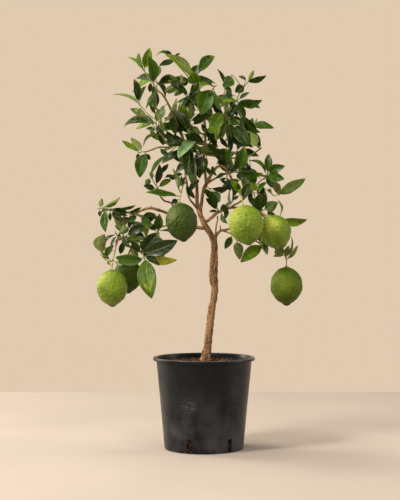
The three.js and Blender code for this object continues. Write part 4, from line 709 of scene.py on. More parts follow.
class LemonTreePot(bpy.types.PropertyGroup):
    height: size("Height", "Height of the pot at its lip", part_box("pot")[1].z)
    rim_radius: size("Rim radius", "Outside radius of the rolled lip", 0.1115)
    wall_radius: size("Wall radius", "Outside radius of the wall under the lip", 0.1045)
    foot_radius: size("Foot radius", "Outside radius of the wall at the floor", 0.087)
    wall: size("Wall thickness", "Thickness of the moulded wall", 0.002, 0.0005, 0.01)
    slot_width: size("Slot width", "Width of each drainage slot", 0.011, 0.001, 0.03)
    slot_top: size("Slot top", "Height of the top of each drainage slot", 0.030, 0.005, 0.06)
    plastic: colour("Plastic", "Colour of the moulded plastic", "#0d1014")
    # this colour is also laid on the lip's edge, partly as wear and partly as a painted highlight
    dust: colour("Dust", "Colour of the dust and chalky wear on it", "#64666a")


class LemonTreeSoil(bpy.types.PropertyGroup):
    level: size("Level", "Height of the soil at the middle of the pot", 0.1875)
    chips: IntProperty(name="Bark chips", description="How many bark chips lie on the soil",
                       default=1500, min=0, max=4000)
    longest_chip: size("Longest chip", "Length of the longest bark chip", 0.013, 0.004, 0.03)
    humus: colour("Humus", "Colour of the fine damp part of the mix", "#30211a")
    bark_bits: colour("Bark bits", "Colour of the fresh bark bits", "#8a5f3e")


class LemonTreeWood(bpy.types.PropertyGroup):
    grid: size("Grid", "Spacing of the points that the bark is shaped with", 0.00075,
               0.0004, 0.003)
    relief: size("Bark relief", "Depth of the cracks on the trunk", 0.0007, 0.0, 0.003)
    old_bark: colour("Old bark", "Colour of the ridges of the bark", "#9d7852")
    # partly painted shade: this dark crack colour stands in also for the shade down in the cracks
    cracks: colour("Cracks", "Colour down in the cracks of the bark", "#4b2f18")
    young_wood: colour("Young wood", "Colour of the green ends of the limbs", "#747c22")


class LemonTreeFruit(bpy.types.PropertyGroup):
    pores: size("Pore spacing", "Distance between the oil glands of the rind", 0.0022,
                0.001, 0.006)
    relief: size("Rind relief", "Height of the lumps of the rind", 0.0015, 0.0, 0.003)
    unripe: colour("Unripe rind", "Colour of the darkest fruit", "#233806")
    turning: colour("Turning rind", "Colour of the palest fruit", "#7c9724")
    ripe: colour("Ripe patch", "Colour of the first yellow patches", "#c6cc4e")


class LemonTreeLeaf(bpy.types.PropertyGroup):
    thickness: size("Thickness", "Thickness of a blade beside its midrib", 0.0006, 0.0002,
                    0.002)
    vein_pairs: IntProperty(name="Vein pairs", description="Side veins on each half blade",
                            default=9, min=3, max=16)
    # partly painted shade: leaves deep in the crown and turned from the light are given this dark
    # colour for the shade they stand in
    shade: colour("Shade leaf", "Colour of the oldest, darkest leaves", "#152c04")
    green: colour("Green leaf", "Colour of most leaves", "#2b4b05")
    olive: colour("Olive leaf", "Colour of the paler, younger leaves", "#58750e")
    # painted sheen: this pale colour stands in for the whitish shine of glossy leaves turned
    # towards the light
    pale: colour("Waxy leaf", "Colour of leaves with a pale bloom", "#7b9360")
    underside: colour("Underside", "Colour of the matt side of a leaf", "#62733a")
    yellow: colour("Yellowed leaf", "Colour of leaves that lack iron", "#a2a834")


class LemonTreeStage(bpy.types.PropertyGroup):
    floor: colour("Floor", "Colour of the plain floor", "#bdb1a5")
    backdrop: colour("Backdrop", "Colour of the plain background", "#e0cab0")
    key_power: FloatProperty(name="Key light", description="Power of the soft key light (W)",
                             default=200, min=0, max=1000, subtype="POWER", unit="POWER")
    lens: FloatProperty(name="Lens", description="Focal length of the camera", default=85,
                        min=20, max=300, subtype="DISTANCE_CAMERA", unit="CAMERA")


# ---- materials -------------------------------------------------------------------------

BLEND = {"data_type": "RGBA"}                         # a Mix node that blends two colours
TIMES = {**BLEND, "blend_type": "MULTIPLY"}           # or multiplies them
TIMES_PLUS = {"operation": "MULTIPLY_ADD"}            # a Math node: first * second + third
SOFT_STEP = {"interpolation_type": "SMOOTHSTEP"}
TINT = {"attribute_name": "tint"}                     # the colours kept with the points


def node(tree, kind, *values, stops=(), **named):
    """Adds a node.  Names in small letters are its settings, the others its inputs; values
    are its inputs in order.  An input that is given a node or a socket is linked to it."""
    made = tree.nodes.new("ShaderNode" + kind)
    inputs = dict(enumerate(values))
    for key, value in named.items():
        if key.islower():
            setattr(made, key, value)
        else:
            inputs[key.replace("_", " ")] = value
    shown = [socket for socket in made.inputs if socket.enabled]
    for key, value in inputs.items():
        into = shown[key] if isinstance(key, int) else made.inputs[key]
        if isinstance(value, bpy.types.Node):
            value = next(socket for socket in value.outputs if socket.enabled)
        if isinstance(value, bpy.types.NodeSocket):
            tree.links.new(value, into)
        else:
            into.default_value = (*value[:3], 1) if into.type == "RGBA" else value
    for k, (position, grey) in enumerate(stops):
        ramp = made.color_ramp.elements[k]
        ramp.position, ramp.color = position, (grey, grey, grey, 1)
    return made


def start_material(name):
    """A new material, what adds nodes to it, and the place on the piece for its patterns."""
    material = bpy.data.materials.new(name)
    material.use_nodes = True
    material.node_tree.nodes.clear()
    add = partial(node, material.node_tree)
    return material, add, add("TexCoord").outputs["Object"]


def finish_material(material, add, tone, **surface):
    lit = add("BsdfPrincipled", Base_Color=tone, **surface)
    add("OutputMaterial", Surface=lit)
    return material


def moulded_polypropylene(pot):
    """Black polypropylene, injection moulded: satin, with the faint upright flow lines of the
    mould, chalky dust low down and the scuffs of handling, which break up its dull shine.
    The lip's edge is lighter, partly from wear and partly as a painted highlight."""
    material, add, here = start_material("black moulded polypropylene")
    # flow lines run up the wall: 1 pattern unit = 9 mm round and 250 mm up
    flow = add("TexNoise", add("Mapping", here, Scale=(110, 110, 4)), 1, 3, 0.6)
    # hand-sized clouds of dust: 1 pattern unit = 60 mm
    cloud = add("TexNoise", here, 16, 5, 0.62)
    # scuffs, 3 mm apart, slanting as the pot was dragged
    slanted = add("Mapping", here, Scale=(60, 60, 330), Rotation=(0.5, 0.35, 0))
    scuff = add("TexNoise", slanted, 1, 4, 0.7)
    # the moulded grain, 0.8 mm
    grain = add("TexNoise", here, 1250, 1)
    # dust up to 160 mm, and a lighter last 2 mm of the lip, partly wear and partly a painted
    # highlight along its edge
    height = add("SeparateXYZ", here).outputs["Z"]
    low_dust = add("MapRange", height, 0.16, 0, 0, 1)
    lip_wear_and_highlight = add("MapRange", height, 0.1982, 0.2002, 0, 0.5)
    patches = add("ValToRGB", cloud, stops=((0.4, 0), (0.62, 1)))
    marks = add("ValToRGB", scuff, stops=((0.6, 0), (0.8, 0.8)))
    lines = add("ValToRGB", flow, stops=((0.35, 0), (0.75, 1)))
    dusty = add("Math", patches, low_dust, operation="MULTIPLY")
    scuffed = add("Math", marks, patches, dusty, **TIMES_PLUS)
    chalk = add("Math", scuffed, 0.34, operation="MULTIPLY")
    # short scrapes within 20 mm of the place where the wall was once pushed in
    pushed = add("VectorMath", here, dent_point(pot), operation="DISTANCE")
    beside = add("MapRange", pushed, 0.005, 0.02, 0.6, 0)
    strokes = add("ValToRGB", scuff, stops=((0.46, 0), (0.62, 1)))
    scrape = add("Math", beside, strokes, chalk, **TIMES_PLUS)
    # the lip's lighter edge joins the scuffs here: partly wear, partly painted highlight
    worn = add("Math", scrape, lip_wear_and_highlight, operation="ADD", use_clamp=True)
    body = add("Mix", lines, pot.plastic, [c * 1.5 for c in pot.plastic], **BLEND)
    tone = add("Mix", worn, body, pot.dust, **BLEND)
    rough = add("MapRange", patches, 0, 1, 0.24, 0.5)
    relief = add("Math", grain, 0.35, flow, **TIMES_PLUS)
    bump = add("Bump", Strength=0.5, Distance=0.0006, Height=relief)
    return finish_material(material, add, tone, Roughness=rough, Normal=bump, IOR=1.49,
                           Specular_IOR_Level=0.22)


def bark_potting_mix(soil):
    """Composted bark potting mix, sieved and watered in: dull and crumbly, fresh orange-brown
    bits on a nearly black ground."""
    material, add, here = start_material("composted bark potting mix")
    # crumbs of 3 mm and fibres of 1 mm
    crumbs = add("TexNoise", here, 330, 5, 0.7)
    fibres = add("TexNoise", here, 1000, 2)
    fresh = add("ValToRGB", crumbs, stops=((0.45, 0), (0.72, 1)))
    ground = add("Mix", fresh, soil.humus, soil.bark_bits, **BLEND)
    tone = add("Mix", 1, ground, add("Attribute", **TINT), **TIMES)
    relief = add("Math", fibres, 0.4, crumbs, **TIMES_PLUS)
    bump = add("Bump", Strength=0.9, Distance=0.0012, Height=relief)
    return finish_material(material, add, tone, Normal=bump, IOR=1.4, Roughness=0.92,
                           Specular_IOR_Level=0.25)


def lemon_bark(wood):
    """Lemon bark, grown: dry and matt, buff ridges with brown cracks along the limb, turning
    smooth and green on the young ends.  The cracks are dark partly as painted shade.
    The tint attribute holds its height and greenness."""
    material, add, here = start_material("grown lemon bark")
    # red channel: height of the bark (0 in a crack, 1 on a ridge); green channel: young wood
    parts = add("SeparateColor", add("Attribute", **TINT))
    young = parts.outputs["Green"]
    # lichen-like mottling 12 mm across, and fibres 1.6 mm wide and 20 mm long up the trunk
    mottle = add("TexNoise", here, 80, 4, 0.6)
    fibre = add("TexNoise", add("Mapping", here, Scale=(620, 620, 50)), 1, 3, 0.6)
    height = add("Math", fibre, 0.55, parts, **TIMES_PLUS)
    ridge = add("ValToRGB", height, stops=((0.42, 0), (0.95, 1)))
    # low bark gets the crack colour: partly the bark's own colour, partly painted shade
    old = add("Mix", ridge, wood.cracks, wood.old_bark, **BLEND)
    aged = add("Mix", 1, old, add("MapRange", mottle, 0.3, 0.7, 0.72, 1.22), **TIMES)
    tone = add("Mix", young, aged, wood.young_wood, **BLEND)
    rough = add("MapRange", young, 0, 1, 0.85, 0.55)
    bump = add("Bump", Strength=0.7, Distance=0.0007, Height=fibre)
    return finish_material(material, add, tone, Roughness=rough, Normal=bump, IOR=1.45,
                           Specular_IOR_Level=0.3)


def lemon_rind(name, fruit, roughness, shine):
    """Unripe lemon rind, grown: waxed cells over a pebbled skin full of oil glands, so the
    shine breaks into many small soft spots.  The tint attribute is the fruit's own colour,
    with painted shade over its lower half and along its wrinkles and folds."""
    material, add, here = start_material(name)
    glands = add("TexVoronoi", here, feature="SMOOTH_F1", Scale=1 / fruit.pores,
                 Randomness=0.9)
    pebbles = add("TexNoise", here, 0.35 / fruit.pores, 3, 0.6)
    blush = add("TexNoise", here, 45, 4, 0.6)
    pit = add("ValToRGB", glands, stops=((0, 0.7), (0.34, 1)))
    dotted = add("Mix", 0.6, add("Attribute", **TINT), pit, **TIMES)
    tone = add("Mix", 1, dotted, add("MapRange", blush, 0.3, 0.7, 0.78, 1.24), **TIMES)
    height = add("Math", pebbles, 1.2, pit, **TIMES_PLUS)
    bump = add("Bump", Strength=0.8, Distance=0.0018, Height=height)
    return finish_material(material, add, tone, Normal=bump, IOR=1.45, Roughness=roughness,
                           Specular_IOR_Level=shine)


def leaf_surface(name, leaf, upper):
    """Citrus leaf, grown.  Above: waxed, glossy, veins sunk and a paler midrib.  Below: matt
    and pale, veins standing up.  UV: across the blade, then along it; tint: leaf's colour."""
    vein_share, shine, smoothest, roughest = ((0.22, 0.25, 0.2, 0.4) if upper
                                              else (0.4, 0.12, 0.6, 0.75))
    material, add, here = start_material(name)
    spread = add("SeparateXYZ", here.node.outputs["UV"])
    # distance from the midrib, 0 on it and 1 at the margin
    centred = add("Math", spread.outputs["X"], 2, -1, **TIMES_PLUS)
    off_rib = add("Math", centred, operation="ABSOLUTE")
    # side veins leave the midrib at even distances and sweep towards the tip
    ranks = add("Math", spread.outputs["Y"], leaf.vein_pairs, operation="MULTIPLY")
    swept = add("Math", off_rib, -1.5, ranks, **TIMES_PLUS)
    bent = add("Math", add("TexNoise", here, 90, 2), 0.9, swept, **TIMES_PLUS)
    ripple = add("Math", bent, 0.5, operation="PINGPONG")
    side_vein = add("MapRange", ripple, 0, 0.14, 1, 0, **SOFT_STEP)
    fade = add("MapRange", off_rib, 0.35, 1, 1, 0)
    side_shown = add("Math", side_vein, fade, operation="MULTIPLY")
    midrib = add("MapRange", off_rib, 0.03, 0.11, 1, 0, **SOFT_STEP)
    veins = add("Math", side_shown, midrib, operation="MAXIMUM")
    # blotches 10 mm across, and cells of 0.9 mm that roughen the wax
    blotch = add("TexNoise", here, 100, 4, 0.6)
    cells = add("TexNoise", here, 1100, 1)
    cloud = add("MapRange", blotch, 0.3, 0.7, 0.74, 1.5)
    body = add("Mix", 1, add("Attribute", **TINT), cloud, **TIMES)
    pale = add("Mix", 0.55, body, leaf.yellow, **BLEND)
    shown = add("Math", veins, vein_share, operation="MULTIPLY")
    tone = add("Mix", shown, body, pale, **BLEND)
    grain = add("Math", cells, 0.25, veins, **TIMES_PLUS)
    bump = add("Bump", invert=upper, Strength=0.6, Distance=0.0005, Height=grain)
    rough = add("MapRange", blotch, 0.3, 0.7, smoothest, roughest)
    return finish_material(material, add, tone, Roughness=rough, Normal=bump, IOR=1.45,
                           Specular_IOR_Level=shine)


def green_shoot():
    """Young lemon shoot, grown: smooth and slightly waxed, green with brown lenticel dots.
    The tint attribute is its own colour, browner where it leaves the wood."""
    material, add, here = start_material("young lemon shoot")
    # lenticels 1.5 mm apart
    dots = add("TexVoronoi", here, Scale=650)
    dark = add("ValToRGB", dots, stops=((0.05, 0.45), (0.25, 1)))
    tone = add("Mix", 0.7, add("Attribute", **TINT), dark, **TIMES)
    bump = add("Bump", Strength=0.4, Distance=0.0003, Height=dark)
    return finish_material(material, add, tone, Normal=bump, IOR=1.45, Roughness=0.5)


def plain_floor(stage):
    """Plain painted board, rolled: matt, with only a slight unevenness of the paint."""
    material, add, here = start_material("rolled matt floor paint")
    # the roller leaves clouds about 300 mm across
    shade = add("MapRange", add("TexNoise", here, 3.3, 2), 0.3, 0.7, 0.96, 1.03)
    tone = add("Mix", 1, stage.floor, shade, **TIMES)
    return finish_material(material, add, tone, Roughness=0.85, Specular_IOR_Level=0.2)


# ---- pot -------------------------------------------------------------------------------

POT_ROUND = 144
LIP_DEPTH, LIP_THICK, LIP_WALL = 6.4, 2.2, 2
FLOOR_THICK = 2.4
FOOT_RISE = 1.2                       # the floor stands this far above the foot ring
FOOT_RING = (14, 9, 0.6)              # how far inside the foot the ring starts and ends
POT_BOW, SLOT_BOW = 1.3, 1.6          # rounding of corners
WALL_STEP = 8
SHARP_DEG = 38
SLOT_COUNT = 6
SLOT_FIRST_DEG = -21.5
SLOT_LOW = 2.2
SLOT_REACH = (-6, 9)                  # how far in and out of the foot the cut goes
DENT_DEG, DENT_HIGH = 249.8, 103      # where the wall was pushed in: bearing, height (mm)


def wall_radius(pot, z):
    """Outside radius (mm) of the pot's wall at a height (mm)."""
    foot, top = pot.foot_radius / MM, pot.wall_radius / MM
    return foot + (top - foot) * z / (pot.height / MM - LIP_DEPTH)


def dent_point(pot):
    turn = math.radians(DENT_DEG)
    return (polar(wall_radius(pot, DENT_HIGH), turn, DENT_HIGH) * MM)[:]


def rounded(corners, radius, steps=3):
    """The line with every inner corner turned into a small bow."""
    line = [corners[0]]
    for before, corner, after in zip(corners, corners[1:], corners[2:]):
        reach_in = min(radius, math.dist(before, corner) * 0.45) / math.dist(before, corner)
        reach_out = min(radius, math.dist(corner, after) * 0.45) / math.dist(corner, after)
        a, b = mix(corner, before, reach_in), mix(corner, after, reach_out)
        for i in range(steps + 1):
            f = i / steps
            line.append(mix(mix(a, corner, f), mix(corner, b, f), f))
    return line + [corners[-1]]


def filled_in(line, step):
    """The line with points added so that none are further apart than the step."""
    full = [line[0]]
    for a, b in zip(line, line[1:]):
        count = max(1, math.ceil(math.dist(a, b) / step))
        full += [mix(a, b, (i + 1) / count) for i in range(count)]
    return full


def turn_on_axis(skin, section, count, shape, tint=WHITE):
    """Turns a section that starts and ends on the axis; shape(r, z, angle) gives the point."""
    skin.join([[skin.point(shape(r, z, a), tint)
                for a in (angles(count) if 0 < i < len(section) - 1 else (0,))]
               for i, (r, z) in enumerate(section)])


def pot_point(r, z, angle):
    """The moulded pot is never quite round: its thin wall and lip bow in and out a little."""
    loose = clamp(z / 200)
    bow = 0.45 * math.sin(2 * angle + 0.6) + 0.22 * math.sin(5 * angle + 1.9)
    dent = -1.2 * math.exp(-((angle - math.radians(DENT_DEG)) / 0.13) ** 2
                           - ((z - DENT_HIGH) / 14) ** 2)
    return polar(r + (bow * loose + dent if r > 40 else 0), angle, z)


def slot_turns():
    """(outwards, along the wall) at each drainage slot."""
    for i in range(SLOT_COUNT):
        turn = math.radians(SLOT_FIRST_DEG + 360 / SLOT_COUNT * i)
        yield (Vector((math.sin(turn), -math.cos(turn), 0)),
               Vector((math.cos(turn), math.sin(turn), 0)))


def make_pot(pot):
    height, rim, wall = pot.height / MM, pot.rim_radius / MM, pot.wall / MM
    low, foot = height - LIP_DEPTH, pot.foot_radius / MM
    under = height - LIP_THICK
    bevel, inside, outside = (foot - inset for inset in FOOT_RING)
    corners = [(0, FOOT_RISE), (bevel, FOOT_RISE), (inside, 0), (outside, 0),
               (wall_radius(pot, under), under), (rim - LIP_WALL, under),
               (rim - LIP_WALL, low), (rim, low), (rim, height),
               (wall_radius(pot, height) - wall, height),
               (wall_radius(pot, FLOOR_THICK) - wall, FLOOR_THICK), (0, FLOOR_THICK)]
    skin = Skin()
    turn_on_axis(skin, filled_in(rounded(corners, POT_BOW), WALL_STEP), POT_ROUND, pot_point)
    piece = skin.build("black_nursery_pot", [moulded_polypropylene(pot)])
    knife = Skin()
    half, top = pot.slot_width / MM / 2, pot.slot_top / MM
    window = rounded([(0, SLOT_LOW), (half, SLOT_LOW), (half, top), (-half, top),
                      (-half, SLOT_LOW), (0, SLOT_LOW)], SLOT_BOW)[:-1]
    for out, along in slot_turns():
        knife.join([[knife.point(out * (foot + reach) + along * x + Vector((0, 0, z)))
                     for x, z in window] for reach in SLOT_REACH])
    cutter = knife.build("slot_cutter", [], False)
    cut = piece.modifiers.new("drainage slots", "BOOLEAN")
    cut.operation, cut.object, cut.solver = "DIFFERENCE", cutter, "EXACT"
    bake_modifiers(piece)
    bpy.data.objects.remove(cutter)
    piece.data.set_sharp_from_angle(angle=math.radians(SHARP_DEG))
    claim(piece, ["pot"])


def bake_modifiers(piece):
    """Turns what the piece's modifiers make into its own mesh."""
    graph = bpy.context.evaluated_depsgraph_get()
    made = bpy.data.meshes.new_from_object(piece.evaluated_get(graph))
    old = piece.data
    piece.modifiers.clear()
    piece.data = made
    bpy.data.meshes.remove(old)
    made.name = piece.name


# ---- soil ------------------------------------------------------------------------------

SOIL_GAP = 2.7          # mm between the pot's outside and the soil's edge
SOIL_DOME = 4
TRUNK_FOOT = Vector((2.6, 0, 0))
SOIL_ROUND, SOIL_RINGS, SOIL_STEPS = 210, 46, 64      # points round it, rings over it, down it
DAMP_AND_SHADED_SOIL = (0.11, 0.1, 0.095)                        # damp and dark under the chips, and kept this dark also as painted shade, so the soil seen through the drainage slots looks black
CHIP_TINTS = ((0.8, 0.74, 0.7), (1.5, 1.3, 1.1), (2.6, 2.2, 1.7), (0.4, 0.36, 0.34),
              (0.6, 0.52, 0.46))
CHIPS_IN_SLOT = 30
CHIP_SEED = 11
CHIP_CLEAR = 11                       # mm from the trunk's axis
EDGE_CHIP = 4                         # length of the chips beside the wall


def soil_level(soil, r, angle):
    dome = SOIL_DOME * (1 - min(1, r / 95)) ** 1.5
    lumps = 0.9 * math.sin(angle * 5 + r * 0.11) + 0.7 * math.sin(angle * 9 - r * 0.23)
    return soil.level / MM + dome + lumps * min(1, r / 30)


def crumble(p, reach):
    return noise.fractal(p / reach, 0.8, 2.2, 4)


def chip(skin, centre, length, draw, tints, lean):
    """A split bark chip: a ragged flat prism, lying as it fell."""
    corners = 5 + int(3 * draw())
    wide, thick = length * (0.3 + 0.25 * draw()), length * (0.12 + 0.14 * draw())
    yaw, pitch, roll = (FULL_TURN * draw(), lean * (draw() - 0.5),
                        lean * (draw() - 0.5))
    turn = (Quaternion((0, 0, 1), yaw) @ Quaternion((0, 1, 0), pitch)
            @ Quaternion((1, 0, 0), roll))
    tint = tints[int(len(tints) * draw())]
    shade = 0.7 + 0.6 * draw()
    tint = [c * shade for c in tint]
    rings = []
    for level in (-1, 1):
        ring = []
        for i in range(corners):
            a = FULL_TURN * (i + 0.5 * draw()) / corners
            shrink = 1 if level < 0 else 0.72 + 0.22 * draw()
            p = Vector((math.cos(a) * length / 2 * shrink, math.sin(a) * wide / 2 * shrink,
                        level * thick / 2 * (0.7 + 0.6 * draw())))
            ring.append(skin.point(centre + turn @ p, tint))
        rings.append(ring)
    skin.join(rings)


def make_soil(soil, pot):
    material = bark_potting_mix(soil)
    top = soil.level / MM
    base = FLOOR_THICK + 0.4
    edge, low_edge = (wall_radius(pot, z) - SOIL_GAP for z in (top, base))

    def shape(r, z, angle):
        if z > top - 1:
            flat = polar(r, angle)
            lift = 1.5 * crumble(flat, 9) + 0.7 * crumble(flat + Vector((0, 0, 50)), 3)
            flat.z = soil_level(soil, r, angle) + lift * min(1, (edge - r) / 3)
            return flat
        r -= 1.1 * abs(crumble(polar(r, angle, z), 6)) if r > 40 else 0
        return polar(r, angle, z)

    section = [(edge * i / SOIL_RINGS, top) for i in range(SOIL_RINGS + 1)]
    section += [(edge + (low_edge - edge) * f, top - 1.2 + (base - top + 1.2) * f)
                for f in (i / SOIL_STEPS for i in range(SOIL_STEPS + 1))]
    skin = Skin()
    turn_on_axis(skin, [(0, base), *section[::-1]], SOIL_ROUND, shape, DAMP_AND_SHADED_SOIL)
    body = skin.build("potting_mix_body", [material])
    claim(body, ["soil"])

    draw = random_from(CHIP_SEED)
    chips = Skin()
    longest = soil.longest_chip / MM
    placed = 0
    while placed < soil.chips:
        r, angle = (edge - 3.5) * math.sqrt(draw()), FULL_TURN * draw()
        length = longest * (0.28 + 0.72 * draw() ** 2.2)
        at = polar(r, angle)
        if (at - TRUNK_FOOT).length < CHIP_CLEAR + length / 2:
            continue
        if r + length / 2 > edge - 0.5:
            length = EDGE_CHIP
        at.z = soil_level(soil, r, angle) + 0.3 + 1.3 * draw()
        chip(chips, at, length, draw, CHIP_TINTS, 1.0)
        placed += 1
    for out, along in slot_turns():
        for _ in range(CHIPS_IN_SLOT):
            z = 3.5 + 24 * draw() ** 1.7
            across = 8.5 * (draw() - 0.5)
            deep = wall_radius(pot, z) - 2.9 - 2.2 * draw()
            chip(chips, out * deep + along * across + Vector((0, 0, z)),
                 3.2 + 2.4 * draw(), draw, CHIP_TINTS[1:4] + CHIP_TINTS[2:4], 3.0)
    bits = chips.build("bark_chips", [material], False)
    claim(bits, [])


# ---- trunk and limbs -------------------------------------------------------------------

RING_STEP = 2.6           # mm between the rings of a limb before it is remeshed
BARK_BLOAT = 0.28         # mm added to the limbs, because smoothing takes as much away
SMOOTHING_ROUNDS = 5
LIMB_SIDES = 14
SWELL_FROM = 2.6          # radius of the thinnest limb that swells at its knots
TRUNK_FROM = 5            # radius from which lumps and scars are looked for
GREENING = 0.35           # share of a limb over which it turns green
LIMB_PHASE = 37.0         # keeps the bark of one limb unlike that of the next
GREEN_FROM = {            # share of each limb where it turns green, for those that do
    "left_arch": 0.42, "arch_lower": 0.0, "arch_upper": 0.0, "fruit_side": 0.3,
    "fruit5_stalk": 0.2, "fruit3_stalk": 0.1, "to_v_pair": 0.6, "mid_right": 0.55,
    "mid_left": 0.6, "left_second": 0.5, "right_mid": 0.5, "behind_fruit5": 0.5,
    "left_strand": 0.8, "leader": 0.75, "right_strand": 0.8, "right_low": 0.85,
    "top_right": 0.6, "centre_left": 0.4, "thin_left": 0.75, "behind_fruit": 0.5,
}
GREEN_ABOVE = 585         # height (mm) above which all limbs grow greener
# lumps on the trunk: (x, z, y, how far they stand out, how wide, how tall), in mm
LUMPS = (
    (12.6, 376, -5, 2.6, 3.2, 8), (13, 366, -7, 1.4, 3, 4), (12, 311, -5, 2.2, 3, 5),
    (29.5, 344, -4, 2.0, 3, 3.6), (13, 330, -7, 1.0, 2, 12), (18, 432, -6, 1.0, 2, 3),
    (27, 432, -5, 1.0, 2, 3), (-3, 211, -5, 1.8, 4, 5), (17, 238, -6, 1.3, 3, 7),
    (26, 392, 3, 1.6, 4, 6), (17, 300, 7, 1.6, 4, 8), (22, 355, 8, 1.8, 4, 5),
    (28, 462, -4, 1.4, 4, 4), (15, 470, -4, 1.5, 4, 4),
)
SCARS = (415, 366, 436, 256)      # heights (mm) of the rings round the trunk
# thorns on the limbs: (x, z, y) of the foot, then how far the point is from it
THORNS = (
    ((-113, 527, -2), (-5, 7, -2)), ((-98, 522, 3), (1, 7, -3)), ((-140, 521, -10), (-6, 5, -2)),
    ((-62, 508, 12), (-3, 7, -3)), ((20, 509, -2), (-2, 6, -4)), ((52, 526, 2), (-3, 7, -2)),
    ((-24, 612, 1), (-6, 4, -2)), ((33, 619, 0), (2, 6, -3)), ((-191, 452, -24), (-6, 2, -2)),
)


def bark_swell(p, angle):
    knots = 0.05 * math.sin(p.z * 0.33 + 2 * angle) + 0.04 * math.sin(p.z * 0.71 - 3 * angle)
    return 1 + knots + 0.03 * math.sin(p.z * 1.3)


def make_wood(wood):
    skin = Skin()
    core = []                     # (centre, tangent, radius, how green, distance along)
    for number, name in enumerate(LIMBS):
        line, radii = traced([place(x, z, y) for x, z, y, _ in LIMBS[name]],
                             [row[3] for row in LIMBS[name]], RING_STEP, 3)
        bloated = [r + BARK_BLOAT for r in radii]
        sway = bark_swell if radii[0] > SWELL_FROM else None
        skin.tube(line, bloated, LIMB_SIDES, sway=sway)
        start = GREEN_FROM.get(name, 2)
        run = LIMB_PHASE * number
        for i, (p, (tangent, _, _)) in enumerate(zip(line, carried_frames(line))):
            run += (p - line[i - 1]).length if i else 0
            share = i / (len(line) - 1)
            core.append((p, tangent, radii[i], clamp((share - start) / GREENING), run))
    for (x, z, y), (dx, dz, dy) in THORNS:
        foot, point = place(x, z, y), place(x + dx, z + dz, y + dy)
        skin.tube([foot, foot.lerp(point, 0.4), foot.lerp(point, 0.8), point],
                  [1.5, 1.1, 0.7, 0.5], 8)
    piece = skin.build("trunk_and_limbs_bark", [lemon_bark(wood)])
    remesh = piece.modifiers.new("one skin", "REMESH")
    remesh.mode, remesh.voxel_size = "VOXEL", wood.grid
    smooth = piece.modifiers.new("softened forks", "SMOOTH")
    smooth.factor, smooth.iterations = 0.5, SMOOTHING_ROUNDS
    bake_modifiers(piece)

    finder = search_tree([row[0] for row in core])
    mesh = piece.data
    relief = wood.relief / MM
    heights, tints = [], []
    for vertex in mesh.vertices:
        p = vertex.co / MM
        _, i, _ = finder.find(p)
        centre, tangent, radius, green, run = core[i]
        green = max(green, 0.85 * clamp((p.z - GREEN_ABOVE) / 70))
        off = p - centre
        off -= tangent * off.dot(tangent)
        run += (p - centre).dot(tangent)
        # cracks 4 mm apart round the limb and ten times as long along it
        q = off * 0.22 + tangent * (run * 0.021)
        crack = abs(noise.noise(q)) * 1.7 + 0.45 * abs(noise.noise(q * 2.7))
        lump = noise.noise(Vector((run * 0.11, off.x * 0.2, off.y * 0.2 + 9)))
        age = clamp((radius - 1.6) / 6) * (1 - 0.8 * green)
        lift = relief * (0.35 + age) * (min(crack, 0.8) - 0.45) + 0.55 * age * lump
        if radius > TRUNK_FROM:
            for x, z, y, rise, wide, tall in LUMPS:
                d = ((p.x - x) / wide) ** 2 + ((p.y - y) / wide) ** 2 + ((p.z - z) / tall) ** 2
                if d < 6:
                    lift += rise * math.exp(-d)
            for at in SCARS:
                wavy = p.z - at - 1.2 * math.sin(off.x * 0.5 + at)
                lift += 0.8 * math.exp(-(wavy / 2.2) ** 2) - 1.0 * math.exp(-(wavy / 0.9) ** 2)
        heights.append(lift)
        ridge = clamp(0.15 + min(crack, 0.8) * 0.85 + 0.12 * lump)
        tints.extend((ridge, green * clamp(0.75 + 0.6 * lump), 0, 1))
    normals = [vertex.normal.copy() for vertex in mesh.vertices]
    for vertex, normal, lift in zip(mesh.vertices, normals, heights):
        vertex.co += normal * (lift * MM)
    for layer in list(mesh.color_attributes):
        mesh.color_attributes.remove(layer)
    mesh.color_attributes.new("tint", "FLOAT_COLOR", "POINT").data.foreach_set("color", tints)
    mesh.polygons.foreach_set("use_smooth", [True] * len(mesh.polygons))
    mesh.update()
    claim(piece, ["trunk_and_limbs"])


# ---- lemons ----------------------------------------------------------------------------

FRUIT_ROUND, FRUIT_RINGS = 168, 132
CALYX_ROUND, CALYX_REACH = 30, 5.6
# half section: share of the length from the stalk end, share of the radius; the last ones
# are the groove round the nipple and the nipple
FRUIT_SECTION = (
    (0, 0), (0.012, 0.2), (0.02, 0.3), (0.045, 0.43), (0.09, 0.58), (0.15, 0.73),
    (0.22, 0.85), (0.31, 0.945), (0.4, 0.993), (0.48, 1.0), (0.57, 0.978), (0.65, 0.92),
    (0.73, 0.828), (0.8, 0.71), (0.86, 0.565), (0.9, 0.43), (0.928, 0.32), (0.945, 0.262),
    (0.96, 0.225), (0.975, 0.185), (0.99, 0.115), (1, 0),
)
# (unripe 0 to turning 1, brightness, share of the relief, then yellow patches: along,
# angle, size, strength)
FRUIT_LOOKS = (
    (0.14, 1.0, 0.9, ((0.3, 4.1, 0.2, 0.12),)),
    (0.8, 0.98, 0.55, ((0.25, 4.0, 0.26, 0.35),)),
    (0.2, 0.88, 0.4, ()),
    (0.88, 1.0, 0.9, ((0.22, 3.9, 0.3, 0.6), (0.55, 3.3, 0.25, 0.3))),
    (0.76, 1.08, 1.0, ((0.24, 4.5, 0.24, 1.0),)),
    (0.4, 0.86, 0.35, ((0.5, 4.6, 0.3, 0.12),)),
)
# folds in the rind near the tip: fruit, share along, angle, reach in mm, depth in mm; painted
# shade darkens their grooves
FOLDS = ((3, 0.86, 5.25, 10, 2.2), (0, 0.86, 4.2, 8, 1.2), (4, 0.9, 5.2, 8, 1.2))


